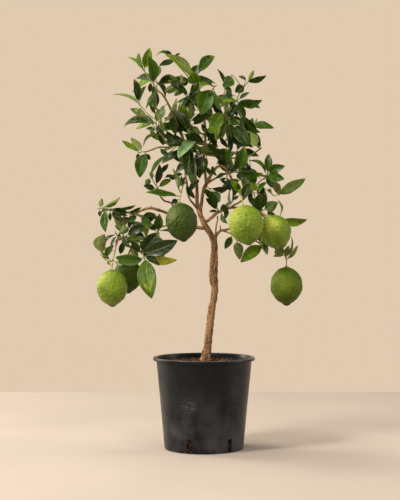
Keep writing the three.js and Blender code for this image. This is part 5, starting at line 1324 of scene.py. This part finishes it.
def section_point(section, f):
    """Point at a share of a half section, on the smooth curve through its corners."""
    points = [Vector((r, -s, 0)) for s, r in section]
    p = curve_point(points, f)
    return -p.y, max(0.0, p.x)


def calyx(skin, top, side, up, down, tint):
    """The green star that holds the fruit, with the end of the stalk rising from it."""
    rings = []
    for share, height in ((0.3, 3.2), (0.42, 1.6), (0.7, 1.3), (1.0, 0.5), (0.97, -0.7)):
        ring = []
        for a in angles(CALYX_ROUND):
            r = CALYX_REACH * share * (1 + (0.2 * math.cos(5 * a) * share if share > 0.5 else 0))
            ring.append(skin.point(top + (side * math.cos(a) + up * math.sin(a)) * r
                                   - down * (height - 0.02 * r * r), tint))
        rings.append(ring)
    skin.join(rings[::-1], 1)


def make_lemons(fruit):
    rinds = {"dark": lemon_rind("unripe lemon rind", fruit, 0.42, 0.27),
             "light": lemon_rind("turning lemon rind", fruit, 0.46, 0.27),
             "smooth": lemon_rind("smooth unripe lemon rind", fruit, 0.5, 0.12)}
    shoot = green_shoot()
    for number, (top_row, tip_row, wide, tone) in enumerate(LEMONS):
        top, tip = place(*top_row), place(*tip_row)
        length, radius = (tip - top).length, wide / 2 * depth_scale(top_row[2])
        down = (tip - top).normalized()
        side = (Vector((1, 0, 0)) - down * down.x).normalized()
        up = side.cross(down)
        ripe, bright, rough, patches = FRUIT_LOOKS[number]
        relief = fruit.relief / MM * rough
        seat = Vector((31.7 * number, 4.1 * number, 0))
        base = mix(fruit.unripe, fruit.turning, ripe)
        skin = Skin()

        def shape(r_share, s_share, angle):
            turned = side * math.cos(angle) + up * math.sin(angle)
            p = turned * (r_share * radius) + down * (s_share * length)
            q = p + seat
            flat = q - down * (0.35 * q.dot(down))      # wrinkles lie across the fruit
            lumps = 1.6 * noise.noise(q / 21) + relief * 1.6 * noise.noise((q + flat) / 11)
            fold_shade = 0
            web = abs(noise.noise((q + flat) / 9) + 0.5 * noise.noise((q + flat) / 4))
            pebbles = relief * (min(web, 0.5) - 0.25)
            for fold_on, along, facing, reach, depth in FOLDS:
                if fold_on == number:
                    middle = side * math.cos(facing) + up * math.sin(facing)
                    middle = middle * (0.5 * radius) + down * (along * length)
                    off = (p - middle).length
                    under = clamp(0.3 + 0.9 * (p - middle).dot(down) / max(off, 1))
                    groove = under * math.exp(-((off - reach) / 2.2) ** 2)
                    lumps += depth * (0.7 * math.exp(-(off / reach * 1.2) ** 2) - groove)
                    fold_shade = max(fold_shade, 1.3 * groove)
            shoulder = math.sin(math.pi * clamp(s_share)) ** 0.5
            folds = 0.5 * math.sin(5 * angle + number) * math.exp(-((s_share - 0.05) / 0.06) ** 2)
            lift = (lumps + pebbles) * shoulder + folds
            # the second value is painted shade along the wrinkles and in the folds' grooves
            return top + p + turned * lift, max(fold_shade, clamp(1 - web * 5))

        rows = [section_point(FRUIT_SECTION, i / FRUIT_RINGS) for i in range(FRUIT_RINGS + 1)]
        rings = []
        for s_share, r_share in rows[1:-1]:
            ring = []
            for angle in angles(FRUIT_ROUND):
                p, crease_shade = shape(r_share, s_share, angle)
                drift = 0.5 + 0.5 * noise.noise((p + seat) / 17)
                tint = [c * bright * (0.82 + 0.36 * drift) for c in base]
                for along, facing, reach, strength in patches:
                    gap = (angle - facing + math.pi) % (2 * math.pi) - math.pi
                    d = ((s_share - along) / reach) ** 2 + (gap / (reach * 3)) ** 2
                    tint = mix(tint, fruit.ripe, strength * math.exp(-d * 1.6))
                # painted shade: darker over the lower half of the fruit and more towards its tip,
                # and along the wrinkles and in the folds' grooves
                end = 0.25 * clamp((s_share - 0.45) / 0.5) + 0.2 * clamp((s_share - 0.9) / 0.1)
                tint = [c * (1 - end) * (1 - 0.3 * crease_shade) for c in tint]
                ring.append(skin.point(p, tint))
            rings.append(ring)
        first = skin.point(top, base)
        last = skin.point(tip, [c * 0.4 for c in base])
        skin.join([[last], *rings[::-1], [first]])
        calyx(skin, top, side, up, down, linear("#7c8a3c"))
        name = f"lemon_{number + 1}"
        rind = rinds["smooth" if rough < 0.5 else tone]
        piece = skin.build(f"{name}_rind", [rind, shoot])
        claim(piece, [name])


# ---- shoots and leaves -----------------------------------------------------------------

LEAF_ROWS = 18
UPPER, UNDER, SHOOT = 0, 1, 2         # slots of a leafy piece
TWIG_STEP, TWIG_SIDES = 2.4, 9
YELLOWED = 4                          # the tone of a leaf that has no paler rim
LEAF_COLUMNS = (-1, -0.86, -0.66, -0.42, -0.2, -0.07, 0, 0.07, 0.2, 0.42, 0.66, 0.86, 1)
# patches of single leaves: (spray, leaf): (along, across, size, strength, colour), ...; the pale
# patches are a painted sheen
LEAF_PATCHES = {
    ("spray_lower_left", 2): ((0.5, 0.6, 0.3, 0.5, "yellow"), (0.3, -0.5, 0.25, 0.5, "green")),
    ("spray_lower_left", 4): ((0.4, 0.1, 0.5, 0.5, "olive"),
                              (0.63, -0.3, 0.05, 0.8, "yellow"),
                              (0.7, 0.3, 0.055, 0.8, "yellow"),
                              (0.57, 0.4, 0.04, 0.5, "yellow"), (0.77, -0.1, 0.05, 0.6, "yellow"),
                              (0.7, -0.45, 0.04, 0.5, "yellow")),
    ("spray_right", 5): ((0.4, 0.35, 0.22, 0.6, "pale"), (0.72, 0.3, 0.16, 0.5, "pale")),
}


def leaf_tone(leaf, tone, draw):
    """Colour of one leaf's upper side: dark (partly painted shade), green, olive, pale (a painted
    sheen) or yellow, never two alike.
    """
    base = (leaf.shade, leaf.green, leaf.olive, leaf.pale, leaf.yellow)[tone]
    shade = 0.8 + 0.36 * draw()
    warm = 0.9 + 0.24 * draw()
    return [base[0] * shade * warm, base[1] * shade, base[2] * shade / warm]


def grow_leaf(skin, settings, body, tone, number, patches):
    """One blade with sunk midrib above, raised midrib below, and its own stalk."""
    draw = random_from(977 * number + 5)
    above = leaf_tone(settings, tone, draw)
    below = [c * (0.85 + 0.3 * draw()) for c in settings.underside]
    tip_burn, rim_pale = draw() < 0.22, 0.04 + 0.12 * draw()
    thick = settings.thickness / MM / 2
    wander = Vector((draw() * 90, draw() * 90, draw() * 90))
    ripple, nick = 0.3 + 0.5 * draw(), 0.004 + 0.008 * draw()
    grid = ([], [])                     # rows of the upper side and of the underside
    for k in range(LEAF_ROWS + 1):
        t = 0.5 - 0.5 * math.cos(math.pi * (0.02 + 0.98 * k / LEAF_ROWS))
        row_top, row_low = [], []
        for v in LEAF_COLUMNS:
            q = wander + Vector((t * 4, v * 2, 0))
            buckle = noise.noise(q) * ripple * math.sin(math.pi * clamp(t)) * abs(v)
            edge = 1 + nick * math.sin(t * 60 + wander.x) * abs(v)
            quilt = 0.22 * math.cos(settings.vein_pairs * 2 * math.pi * (t - 0.17 * abs(v)))
            quilt *= math.sin(math.pi * abs(v)) * math.sin(math.pi * clamp(t))
            rib = math.exp(-(v / 0.06) ** 2) * (1 - 0.75 * t)
            width = max(0.25, leaf_width_share(t))
            half = body["width"] / 2 * leaf_width_share(t)
            trough = half * math.sin(body["fold"]) * (abs(v) ** 1.5 - abs(v))
            stout = thick * (1 - 0.75 * v * v) * min(1, width * 3)
            top_lift = stout - 0.3 * rib + buckle + quilt + trough
            low_lift = -stout - 0.75 * rib + buckle + quilt + trough
            tint = list(above)
            if tone != YELLOWED:
                tint = mix(tint, settings.yellow, rim_pale * abs(v) ** 5)
            if tip_burn:
                tint = mix(tint, settings.yellow, clamp((t - 0.8) * 4) * 0.8)
            for along, across, reach, strength, colour in patches:
                d = ((t - along) / reach) ** 2 + ((v - across) / (reach * 3.2)) ** 2
                blot = clamp(math.exp(-d) * (1 + 0.9 * noise.noise(q * 3)))
                tint = mix(tint, getattr(settings, colour), strength * blot)
            shade = 1 + 0.16 * noise.noise(q * 1.7)
            tint = [c * shade for c in tint]
            top = skin.point(blade_point(body, t, v * edge, top_lift), tint)
            row_top.append(top)
            edge_on = abs(v) == 1
            low = top if edge_on else skin.point(blade_point(body, t, v * edge, low_lift),
                                                 [c * shade for c in below])
            row_low.append(low)
        grid[0].append(row_top)
        grid[1].append(row_low)
    for slot in (UPPER, UNDER):
        rows = grid[slot]
        for k in range(LEAF_ROWS):
            for c in range(len(LEAF_COLUMNS) - 1):
                spots = ((k, c), (k, c + 1), (k + 1, c + 1), (k + 1, c))
                spots = spots[::-1] if slot else spots
                skin.face([rows[i][j] for i, j in spots], slot,
                          [(LEAF_COLUMNS[j] / 2 + 0.5, i / LEAF_ROWS) for i, j in spots])
    for k in (0, LEAF_ROWS):
        ring = grid[0][k] + grid[1][k][-2:0:-1]
        skin.face(ring if k else ring[::-1], UNDER)
    stalk_end = blade_point(body, 0.06, 0, -0.4)
    mid = body["foot"].lerp(stalk_end, 0.5) + Vector((0, 0, 0.6))
    line = [body["foot"], mid, stalk_end, blade_point(body, 0.14, 0, -0.55)]
    line = [curve_point(line, i / 6) for i in range(7)]
    girth = 0.62 + 0.012 * body["width"]
    radii = [girth * g for g in (1.35, 1.05, 0.95, 0.95, 0.9, 0.7, 0.4)]
    skin.tube(line, radii, 7, mix(below, above, 0.4), SHOOT)


def grow_twig(skin, rows, radii, wood_end, number, young="#76803a"):
    """A shoot along traced points: brownish where it leaves the wood, green beyond."""
    line, girths = traced([place(*row) for row in rows], radii, TWIG_STEP, 4)
    count = len(line) - 1
    young, woody = linear(young), linear("#6e5a34")
    tints = [mix(woody, young, clamp(i / count / wood_end)) for i in range(count + 1)]
    for i in range(count + 1):
        girths[i] *= 0.84 + 0.14 * max(0.0, math.sin(i * 1.35 + number)) ** 4
    girths[-1] *= 0.6
    skin.tube(line, girths, TWIG_SIDES, tints, SHOOT)
    return line


def bud(skin, at, towards, size, tint):
    """A small pointed bud."""
    line = [at, at + towards * size, at + towards * size * 2, at + towards * size * 3]
    skin.tube(line, [size * 0.5, size * 0.75, size * 0.45, size * 0.1], 7, tint, SHOOT)


TWIG_END = 1.2            # radius of every twig's end
CALYX_R = 3.4             # radius of a fruit stalk where it holds the fruit


def thinned(rows, r):
    last = len(rows) - 1
    return [r + (TWIG_END - r) * i / last for i in range(len(rows))]


def leaf_finishes(settings):
    """Upper side, underside and shoot, made once and worn by every leaf."""
    names = ("waxed upper side of a lemon leaf", "matt underside of a lemon leaf",
             "young lemon shoot")
    if names[0] in bpy.data.materials:
        return [bpy.data.materials[name] for name in names]
    return [leaf_surface(names[0], settings, True), leaf_surface(names[1], settings, False),
            bpy.data.materials.get(names[2]) or green_shoot()]


def make_sprays(settings, names):
    finishes = leaf_finishes(settings)
    for order, spray in enumerate((*STALKS, *SPRAYS)):
        name, r, fruit, twigs, leaves, backs = spray
        if name not in names:
            continue
        solid = node_tree_of(name)
        skin = Skin()
        for number, rows in enumerate(twigs):
            if fruit is not None and number == 0:
                top, tip = LEMONS[fruit][:2]
                seat = mix(top, tip, 0.004)
                grow_twig(skin, [*rows, seat], [*[r] * len(rows), CALYX_R], 0.5, order,
                          "#a3a440")
                continue
            line = grow_twig(skin, rows, thinned(rows, r - (0.2 if number else 0)), 0.4,
                             order + number)
            bud(skin, line[-1], (line[-1] - line[-2]).normalized(), 1.3, linear("#8a9a44"))
        feet = leaf_feet(twigs, leaves)
        for k, row in enumerate(leaves):
            seed = 1000 * order + 17 * k + 1
            body = settle(lambda b, o, s: leaf_pose(feet[k], row, b, o, s), seed, solid)
            grow_leaf(skin, settings, body, row[7], seed, LEAF_PATCHES.get((name, k), ()))
        for b, back in enumerate(backs):
            line = back_line(back)
            grow_twig(skin, line, thinned(line, r), 0.4, order + 7)
            for k, row in enumerate(back_rows(back)):
                seed = 1000 * order + 400 * (b + 1) + 17 * k + 1
                body = settle(lambda e, o, s: back_pose(row, e, o, s), seed, solid)
                draw = random_from(seed + 3)
                tone = (0, 1, 0, 1, 2)[int(5 * draw())]
                grow_leaf(skin, settings, body, tone, seed, ())
        piece = skin.build(f"{name}_leaves", finishes)
        claim(piece, [name])


# inner leaves: x, z of the foot end; x, z of the tip; width seen; tone.  They were traced from
# between the leaves that stand in front; a width below nothing is that of a leaf that itself
# stands in front.
INNER_LEAVES = table("""
    -88 752 -97 731 10 3, -53 758 -36 716 10 2, -75 738 -61 688 17 1, -60 735 -35 692 15 0,
    -52 732 -27 706 11 0, -82 697 -58 664 18 0, -66 690 -42 668 15 0, -30 701 -4 690 12 1,
    -42 690 -11 675 15 1, -100 712 -86 688 9 0, -93 722 -88 699 7 2, -5 713 7 689 11 1,
    -118 767 -107 734 11 1, -112 801 -103 764 13 1, 46 738 53 763 9 3, 58 763 73 729 17 0,
    49 722 74 714 15 1, 76 736 124 694 15 0, 70 722 96 686 11 3, 56 696 98 684 17 1,
    45 738 29 678 11 2, 50 735 53 688 11 3, 4 701 29 670 17 0, 12 690 31 661 11 1,
    35 684 53 660 11 1, 60 682 101 664 19 0, 86 690 107 660 15 0, -20 674 -56 636 -32 3,
    -12 655 -8 611 13 0, 0 641 -7 599 15 1, -26 641 -14 598 13 0, 8 641 3 609 11 2,
    -12 590 -32 561 15 0, -68 668 -91 651 8 3, -45 640 -24 604 14 1, 5 626 15 598 10 1,
    18 620 29 598 9 1, 57 567 60 534 6 0, 63 548 44 527 10 2, 36 590 54 583 7 0,
    40 583 55 577 6 0, 20 660 62 622 24 0, 60 592 80 557 16 2, 88 592 127 570 15 2,
    28 640 52 605 16 0, -202 521 -168 510 14 0, -168 517 -138 529 9 1, -142 514 -106 506 14 1,
    -168 500 -113 486 17 3, -172 468 -124 464 11 3, -175 461 -131 457 7 2,
    -135 430 -161 453 17 0, -139 427 -127 458 17 0, -196 490 -174 476 9 3,
    -200 430 -223 436 11 2, -205 412 -224 431 9 2, -160 425 -192 402 22 2,
    -150 432 -110 420 18 0, -178 470 -160 440 12 0, -150 480 -128 455 14 0,
    116 600 96 572 16 1, 118 560 140 585 12 1, 104 612 84 634 14 0, 112 545 128 520 14 0,
    140 470 160 452 12 3, 165 436 150 452 12 3, -30 780 -12 806 12 1, -60 800 -36 776 14 1,
    0 768 22 748 14 0, -100 664 -76 640 12 0, -96 604 -78 624 11 0, 60 776 40 800 12 0,
    -118 700 -98 676 12 1, 20 760 44 728 16 0, -20 740 -46 770 14 0, -53 567 -68 613 8 2,
    -53 576 -42 596 9 1, -54 545 -72 537 13 0, -78 596 -49 603 12 0, 28 677 44 736 -14 2,
    -8 650 -9 592 -23 0, -100 572 -73 590 13 1""")
INNER_SEED = 71
OWN_TWIG = 14             # mm: further from any wood than this, a leaf has its own twig
CLEAR = 1.2               # mm that an inner leaf keeps from the leaves already grown
INNER_BENDS = (0, 10, 20, -10, 32, -20, 44, 58, -32, 72, -46)
FRONT_BENDS = (-52, -60, -68, -44, -36)
FACING_LIGHT = Vector((-0.41, -0.86, 0.3))  # so turned, a leaf's wax shines towards the front


def known_wood():
    """Traced points along every limb and twig: ((x, z, depth), radius)."""
    found = []
    for rows in LIMBS.values():
        for a, b in zip(rows, rows[1:]):
            found += [mix(a, b, i / 4) for i in range(4)]
    for _, r, _, twigs, _, _ in (*STALKS, *SPRAYS):
        for rows in twigs:
            for a, b in zip(rows, rows[1:]):
                found += [[*mix(a, b, i / 3), r * 0.7] for i in range(3)]
    return found


def make_inner_leaves(settings):
    """Leaves deep in the crown, each kept clear of the leaves that are already there."""
    standing = []
    for spray in (*STALKS, *SPRAYS):
        piece = bpy.data.objects.get(f"{spray[0]}_leaves")
        standing += [vertex.co / MM for vertex in list(piece.data.vertices)[::3]]
    for number in range(len(LEMONS)):
        fruit = bpy.data.objects[f"lemon_{number + 1}_rind"]
        standing += [vertex.co / MM for vertex in list(fruit.data.vertices)[::9]]
    wood = known_wood()
    skin = Skin()
    draw = random_from(INNER_SEED)
    for k, (x0, z0, x1, z1, width, tone) in enumerate(INNER_LEAVES):
        tree = search_tree(standing)
        near = min(wood, key=lambda w: math.hypot(w[0] - x0, w[1] - z0) + 0.15 * abs(w[2]))
        foot = (near[0], near[1], near[2])
        best = None
        lean = 8 - 22 * draw()
        for bend in INNER_BENDS if width > 0 else FRONT_BENDS:
            away = math.hypot(near[0] - x0, near[1] - z0)
            row = (x0, z0, x1, z1, abs(width), lean, 1 if draw() < 0.8 else -1, tone,
                   4 * (draw() - 0.5))
            start = (near[0] + (x0 - near[0]) * 0.6, near[1] + (z0 - near[1]) * 0.6,
                     near[2] + bend * 0.6) if away > OWN_TWIG else foot
            shift = bend * 0.4 if away > OWN_TWIG else bend
            body = leaf_body(leaf_pose(start, row, shift, 0, 1), 7000 + 13 * k)
            if width < 0:
                body["roll"] = math.atan2(FACING_LIGHT.dot(body["across"]),
                                          FACING_LIGHT.dot(body["normal"]))
            probes = [blade_point(body, t, v, 0) for t in (0.15, 0.35, 0.55, 0.75, 0.95)
                      for v in (-0.9, -0.4, 0.1, 0.6, 1)]
            room = min(tree.find(p)[2] for p in probes)
            if best is None or room > best[0]:
                best = (room, body, start)
            if room > CLEAR:
                break
        _, body, start = best
        if start != foot:
            middle = mix(foot, start, 0.5)
            middle[1] += 2
            grow_twig(skin, [foot, middle, list(start)], [0.95, 0.9, 0.8], 0.3, k)
        first = len(skin.points)
        grow_leaf(skin, settings, body, tone, 5000 + 31 * k,
                  LEAF_PATCHES.get(("inner_leaves", k), ()))
        standing += [Vector(p) / MM for p in skin.points[first::3]]
    piece = skin.build("inner_leaves", leaf_finishes(settings))
    claim(piece, [])


# ---- stage -----------------------------------------------------------------------------

LAMP_TARGET = (0, 0, 0.4)
CAMERA_AT = (EYE_X * MM, -EYE_DISTANCE * MM, EYE_Z * MM)
CEILING_LIGHT = 0.16
NEAR_LIGHT = 0.42
FLOOR_REACH = 1020        # mm from the pot's axis to each edge of the floor board
FLOOR_CORNER = 400
FLOOR_BOARD = 12          # mm thick
# soft lamps: name, place, width and height, share of the key light's power, colour
LAMPS = (
    ("key_softbox", (-3.1, -2.1, 2.9), (1.0, 1.0), 0.9, "#fff8ee"),
    ("left_strip", (-2.5, 1.35, 1.2), (0.9, 2.3), 0.34, "#fff3e2"),
    ("top_softbox", (-0.7, 0.5, 3.0), (1.6, 1.6), 0.24, "#fffaf2"),
    ("right_strip", (2.7, -0.15, 1.0), (0.6, 1.9), 0.15, "#fff3e6"),
    ("high_fill", (1.3, -2.6, 3.3), (1.3, 1.3), 0.2, "#fff8ee"),
    ("front_fill", (-1.5, -3.4, 1.8), (1.6, 1.6), 0.15, "#fbf6ff"),
)


def aim(obj, target):
    obj.rotation_mode = "QUATERNION"
    obj.rotation_quaternion = (Vector(target) - obj.location).to_track_quat("-Z", "Y")


def make_stage(stage):
    scene = bpy.context.scene
    skin = Skin()
    inner = FLOOR_REACH - FLOOR_CORNER
    outline = []
    for quarter in range(4):
        for i in range(13):
            turn = math.pi / 2 * (quarter + i / 12)
            corner = math.pi / 2 * (quarter + 0.5)
            outline.append([math.copysign(inner, wave(corner)) + FLOOR_CORNER * wave(turn)
                            for wave in (math.cos, math.sin)])
    skin.join([[skin.point((x, y, z)) for x, y in outline] for z in (-FLOOR_BOARD, -0.02)])
    skin.build("plain_floor", [plain_floor(stage)], False)
    for name, at, size_of, share, tint in LAMPS:
        lamp = bpy.data.lights.new(name, "AREA")
        lamp.energy, lamp.shape = stage.key_power * share, "RECTANGLE"
        lamp.size, lamp.size_y = size_of
        lamp.color = linear(tint)
        obj = bpy.data.objects.new(name, lamp)
        obj.location = at
        scene.collection.objects.link(obj)
        aim(obj, LAMP_TARGET)
    world = bpy.data.worlds.new("plain warm backdrop")
    world.use_nodes = True
    world.node_tree.nodes.clear()
    add = partial(node, world.node_tree)
    toward = add("SeparateXYZ", add("TexCoord").outputs["Generated"]).outputs
    # the backdrop is lit up to a little above the horizon, under a dark studio ceiling
    lit = add("MapRange", toward["Z"], 0.22, 0.4, 1, CEILING_LIGHT, **SOFT_STEP)
    # and the near side of the studio is dimmer than the backdrop
    near = add("MapRange", toward["Y"], -0.8, 0, NEAR_LIGHT, 1, **SOFT_STEP)
    both = add("Math", lit, near, operation="MULTIPLY")
    add("OutputWorld", add("Background", Color=stage.backdrop, Strength=both))
    scene.world = world
    scene.view_settings.view_transform = "Standard"
    lens = bpy.data.cameras.new("camera")
    lens.lens, lens.sensor_width, lens.clip_start, lens.clip_end = stage.lens, 36, 0.05, 50
    camera = bpy.data.objects.new("camera", lens)
    camera.location = CAMERA_AT
    camera.rotation_euler = (math.pi / 2, 0, 0)
    scene.collection.objects.link(camera)
    scene.camera = camera


# ---- operators and panel ---------------------------------------------------------------

class MakeLemonTreePot(bpy.types.Operator):
    """Moulds the black pot and cuts its drainage slots"""
    bl_idname = "lemon_tree.pot"
    bl_label = "Pot"

    def execute(self, context):
        make_pot(context.scene.lemon_tree_pot)
        return {"FINISHED"}


class MakeLemonTreeSoil(bpy.types.Operator):
    """Fills the pot with potting mix and strews bark chips on it"""
    bl_idname = "lemon_tree.soil"
    bl_label = "Soil and bark chips"

    def execute(self, context):
        make_soil(context.scene.lemon_tree_soil, context.scene.lemon_tree_pot)
        return {"FINISHED"}


class MakeLemonTreeWood(bpy.types.Operator):
    """Grows the trunk and limbs as one skin with cracked bark"""
    bl_idname = "lemon_tree.wood"
    bl_label = "Trunk and limbs"

    def execute(self, context):
        make_wood(context.scene.lemon_tree_wood)
        return {"FINISHED"}


class MakeLemonTreeFruit(bpy.types.Operator):
    """Grows the six lemons with their calyces"""
    bl_idname = "lemon_tree.fruit"
    bl_label = "Lemons"

    def execute(self, context):
        make_lemons(context.scene.lemon_tree_fruit)
        return {"FINISHED"}


class MakeLemonTreeStalks(bpy.types.Operator):
    """Grows the leafy stalks that four of the lemons hang from"""
    bl_idname = "lemon_tree.stalks"
    bl_label = "Fruit stalks"

    def execute(self, context):
        make_sprays(context.scene.lemon_tree_leaf, {row[0] for row in STALKS})
        return {"FINISHED"}


class MakeLemonTreeSprays(bpy.types.Operator):
    """Grows the leafy sprays of the crown"""
    bl_idname = "lemon_tree.sprays"
    bl_label = "Leafy sprays"

    def execute(self, context):
        make_sprays(context.scene.lemon_tree_leaf, {row[0] for row in SPRAYS})
        return {"FINISHED"}


class MakeLemonTreeInnerLeaves(bpy.types.Operator):
    """Grows the leaves deep in the crown, between those of the sprays"""
    bl_idname = "lemon_tree.inner_leaves"
    bl_label = "Inner leaves"

    def execute(self, context):
        make_inner_leaves(context.scene.lemon_tree_leaf)
        return {"FINISHED"}


class MakeLemonTreeStage(bpy.types.Operator):
    """Lays the plain floor and sets the lamps, the backdrop and the camera"""
    bl_idname = "lemon_tree.stage"
    bl_label = "Stage"

    def execute(self, context):
        make_stage(context.scene.lemon_tree_stage)
        return {"FINISHED"}


SETTINGS = {
    "lemon_tree_pot": LemonTreePot, "lemon_tree_soil": LemonTreeSoil,
    "lemon_tree_wood": LemonTreeWood, "lemon_tree_fruit": LemonTreeFruit,
    "lemon_tree_leaf": LemonTreeLeaf, "lemon_tree_stage": LemonTreeStage,
}
OPERATORS = (MakeLemonTreeStage, MakeLemonTreePot, MakeLemonTreeSoil, MakeLemonTreeWood,
             MakeLemonTreeFruit, MakeLemonTreeStalks, MakeLemonTreeSprays,
             MakeLemonTreeInnerLeaves)


class LemonTreePanel(bpy.types.Panel):
    """Lists the pieces of the lemon tree with the sizes and colours that can be changed"""
    bl_idname = "VIEW3D_PT_lemon_tree"
    bl_label = "Potted lemon tree"
    bl_space_type = "VIEW_3D"
    bl_region_type = "UI"
    bl_category = "Lemon tree"

    def draw(self, context):
        for operator in OPERATORS:
            self.layout.operator(operator.bl_idname)
        for name, group in SETTINGS.items():
            box = self.layout.box()
            for prop in group.__annotations__:
                box.prop(getattr(context.scene, name), prop)


def register():
    for group in (*SETTINGS.values(), *OPERATORS, LemonTreePanel):
        bpy.utils.register_class(group)
    for name, group in SETTINGS.items():
        setattr(bpy.types.Scene, name, PointerProperty(type=group))


def unregister():
    for name in SETTINGS:
        delattr(bpy.types.Scene, name)
    for group in (LemonTreePanel, *OPERATORS, *SETTINGS.values()):
        bpy.utils.unregister_class(group)


def main():
    register()
    for operator in OPERATORS:
        getattr(bpy.ops.lemon_tree, operator.bl_idname.split(".")[1])()


if __name__ == "__main__":
    main()
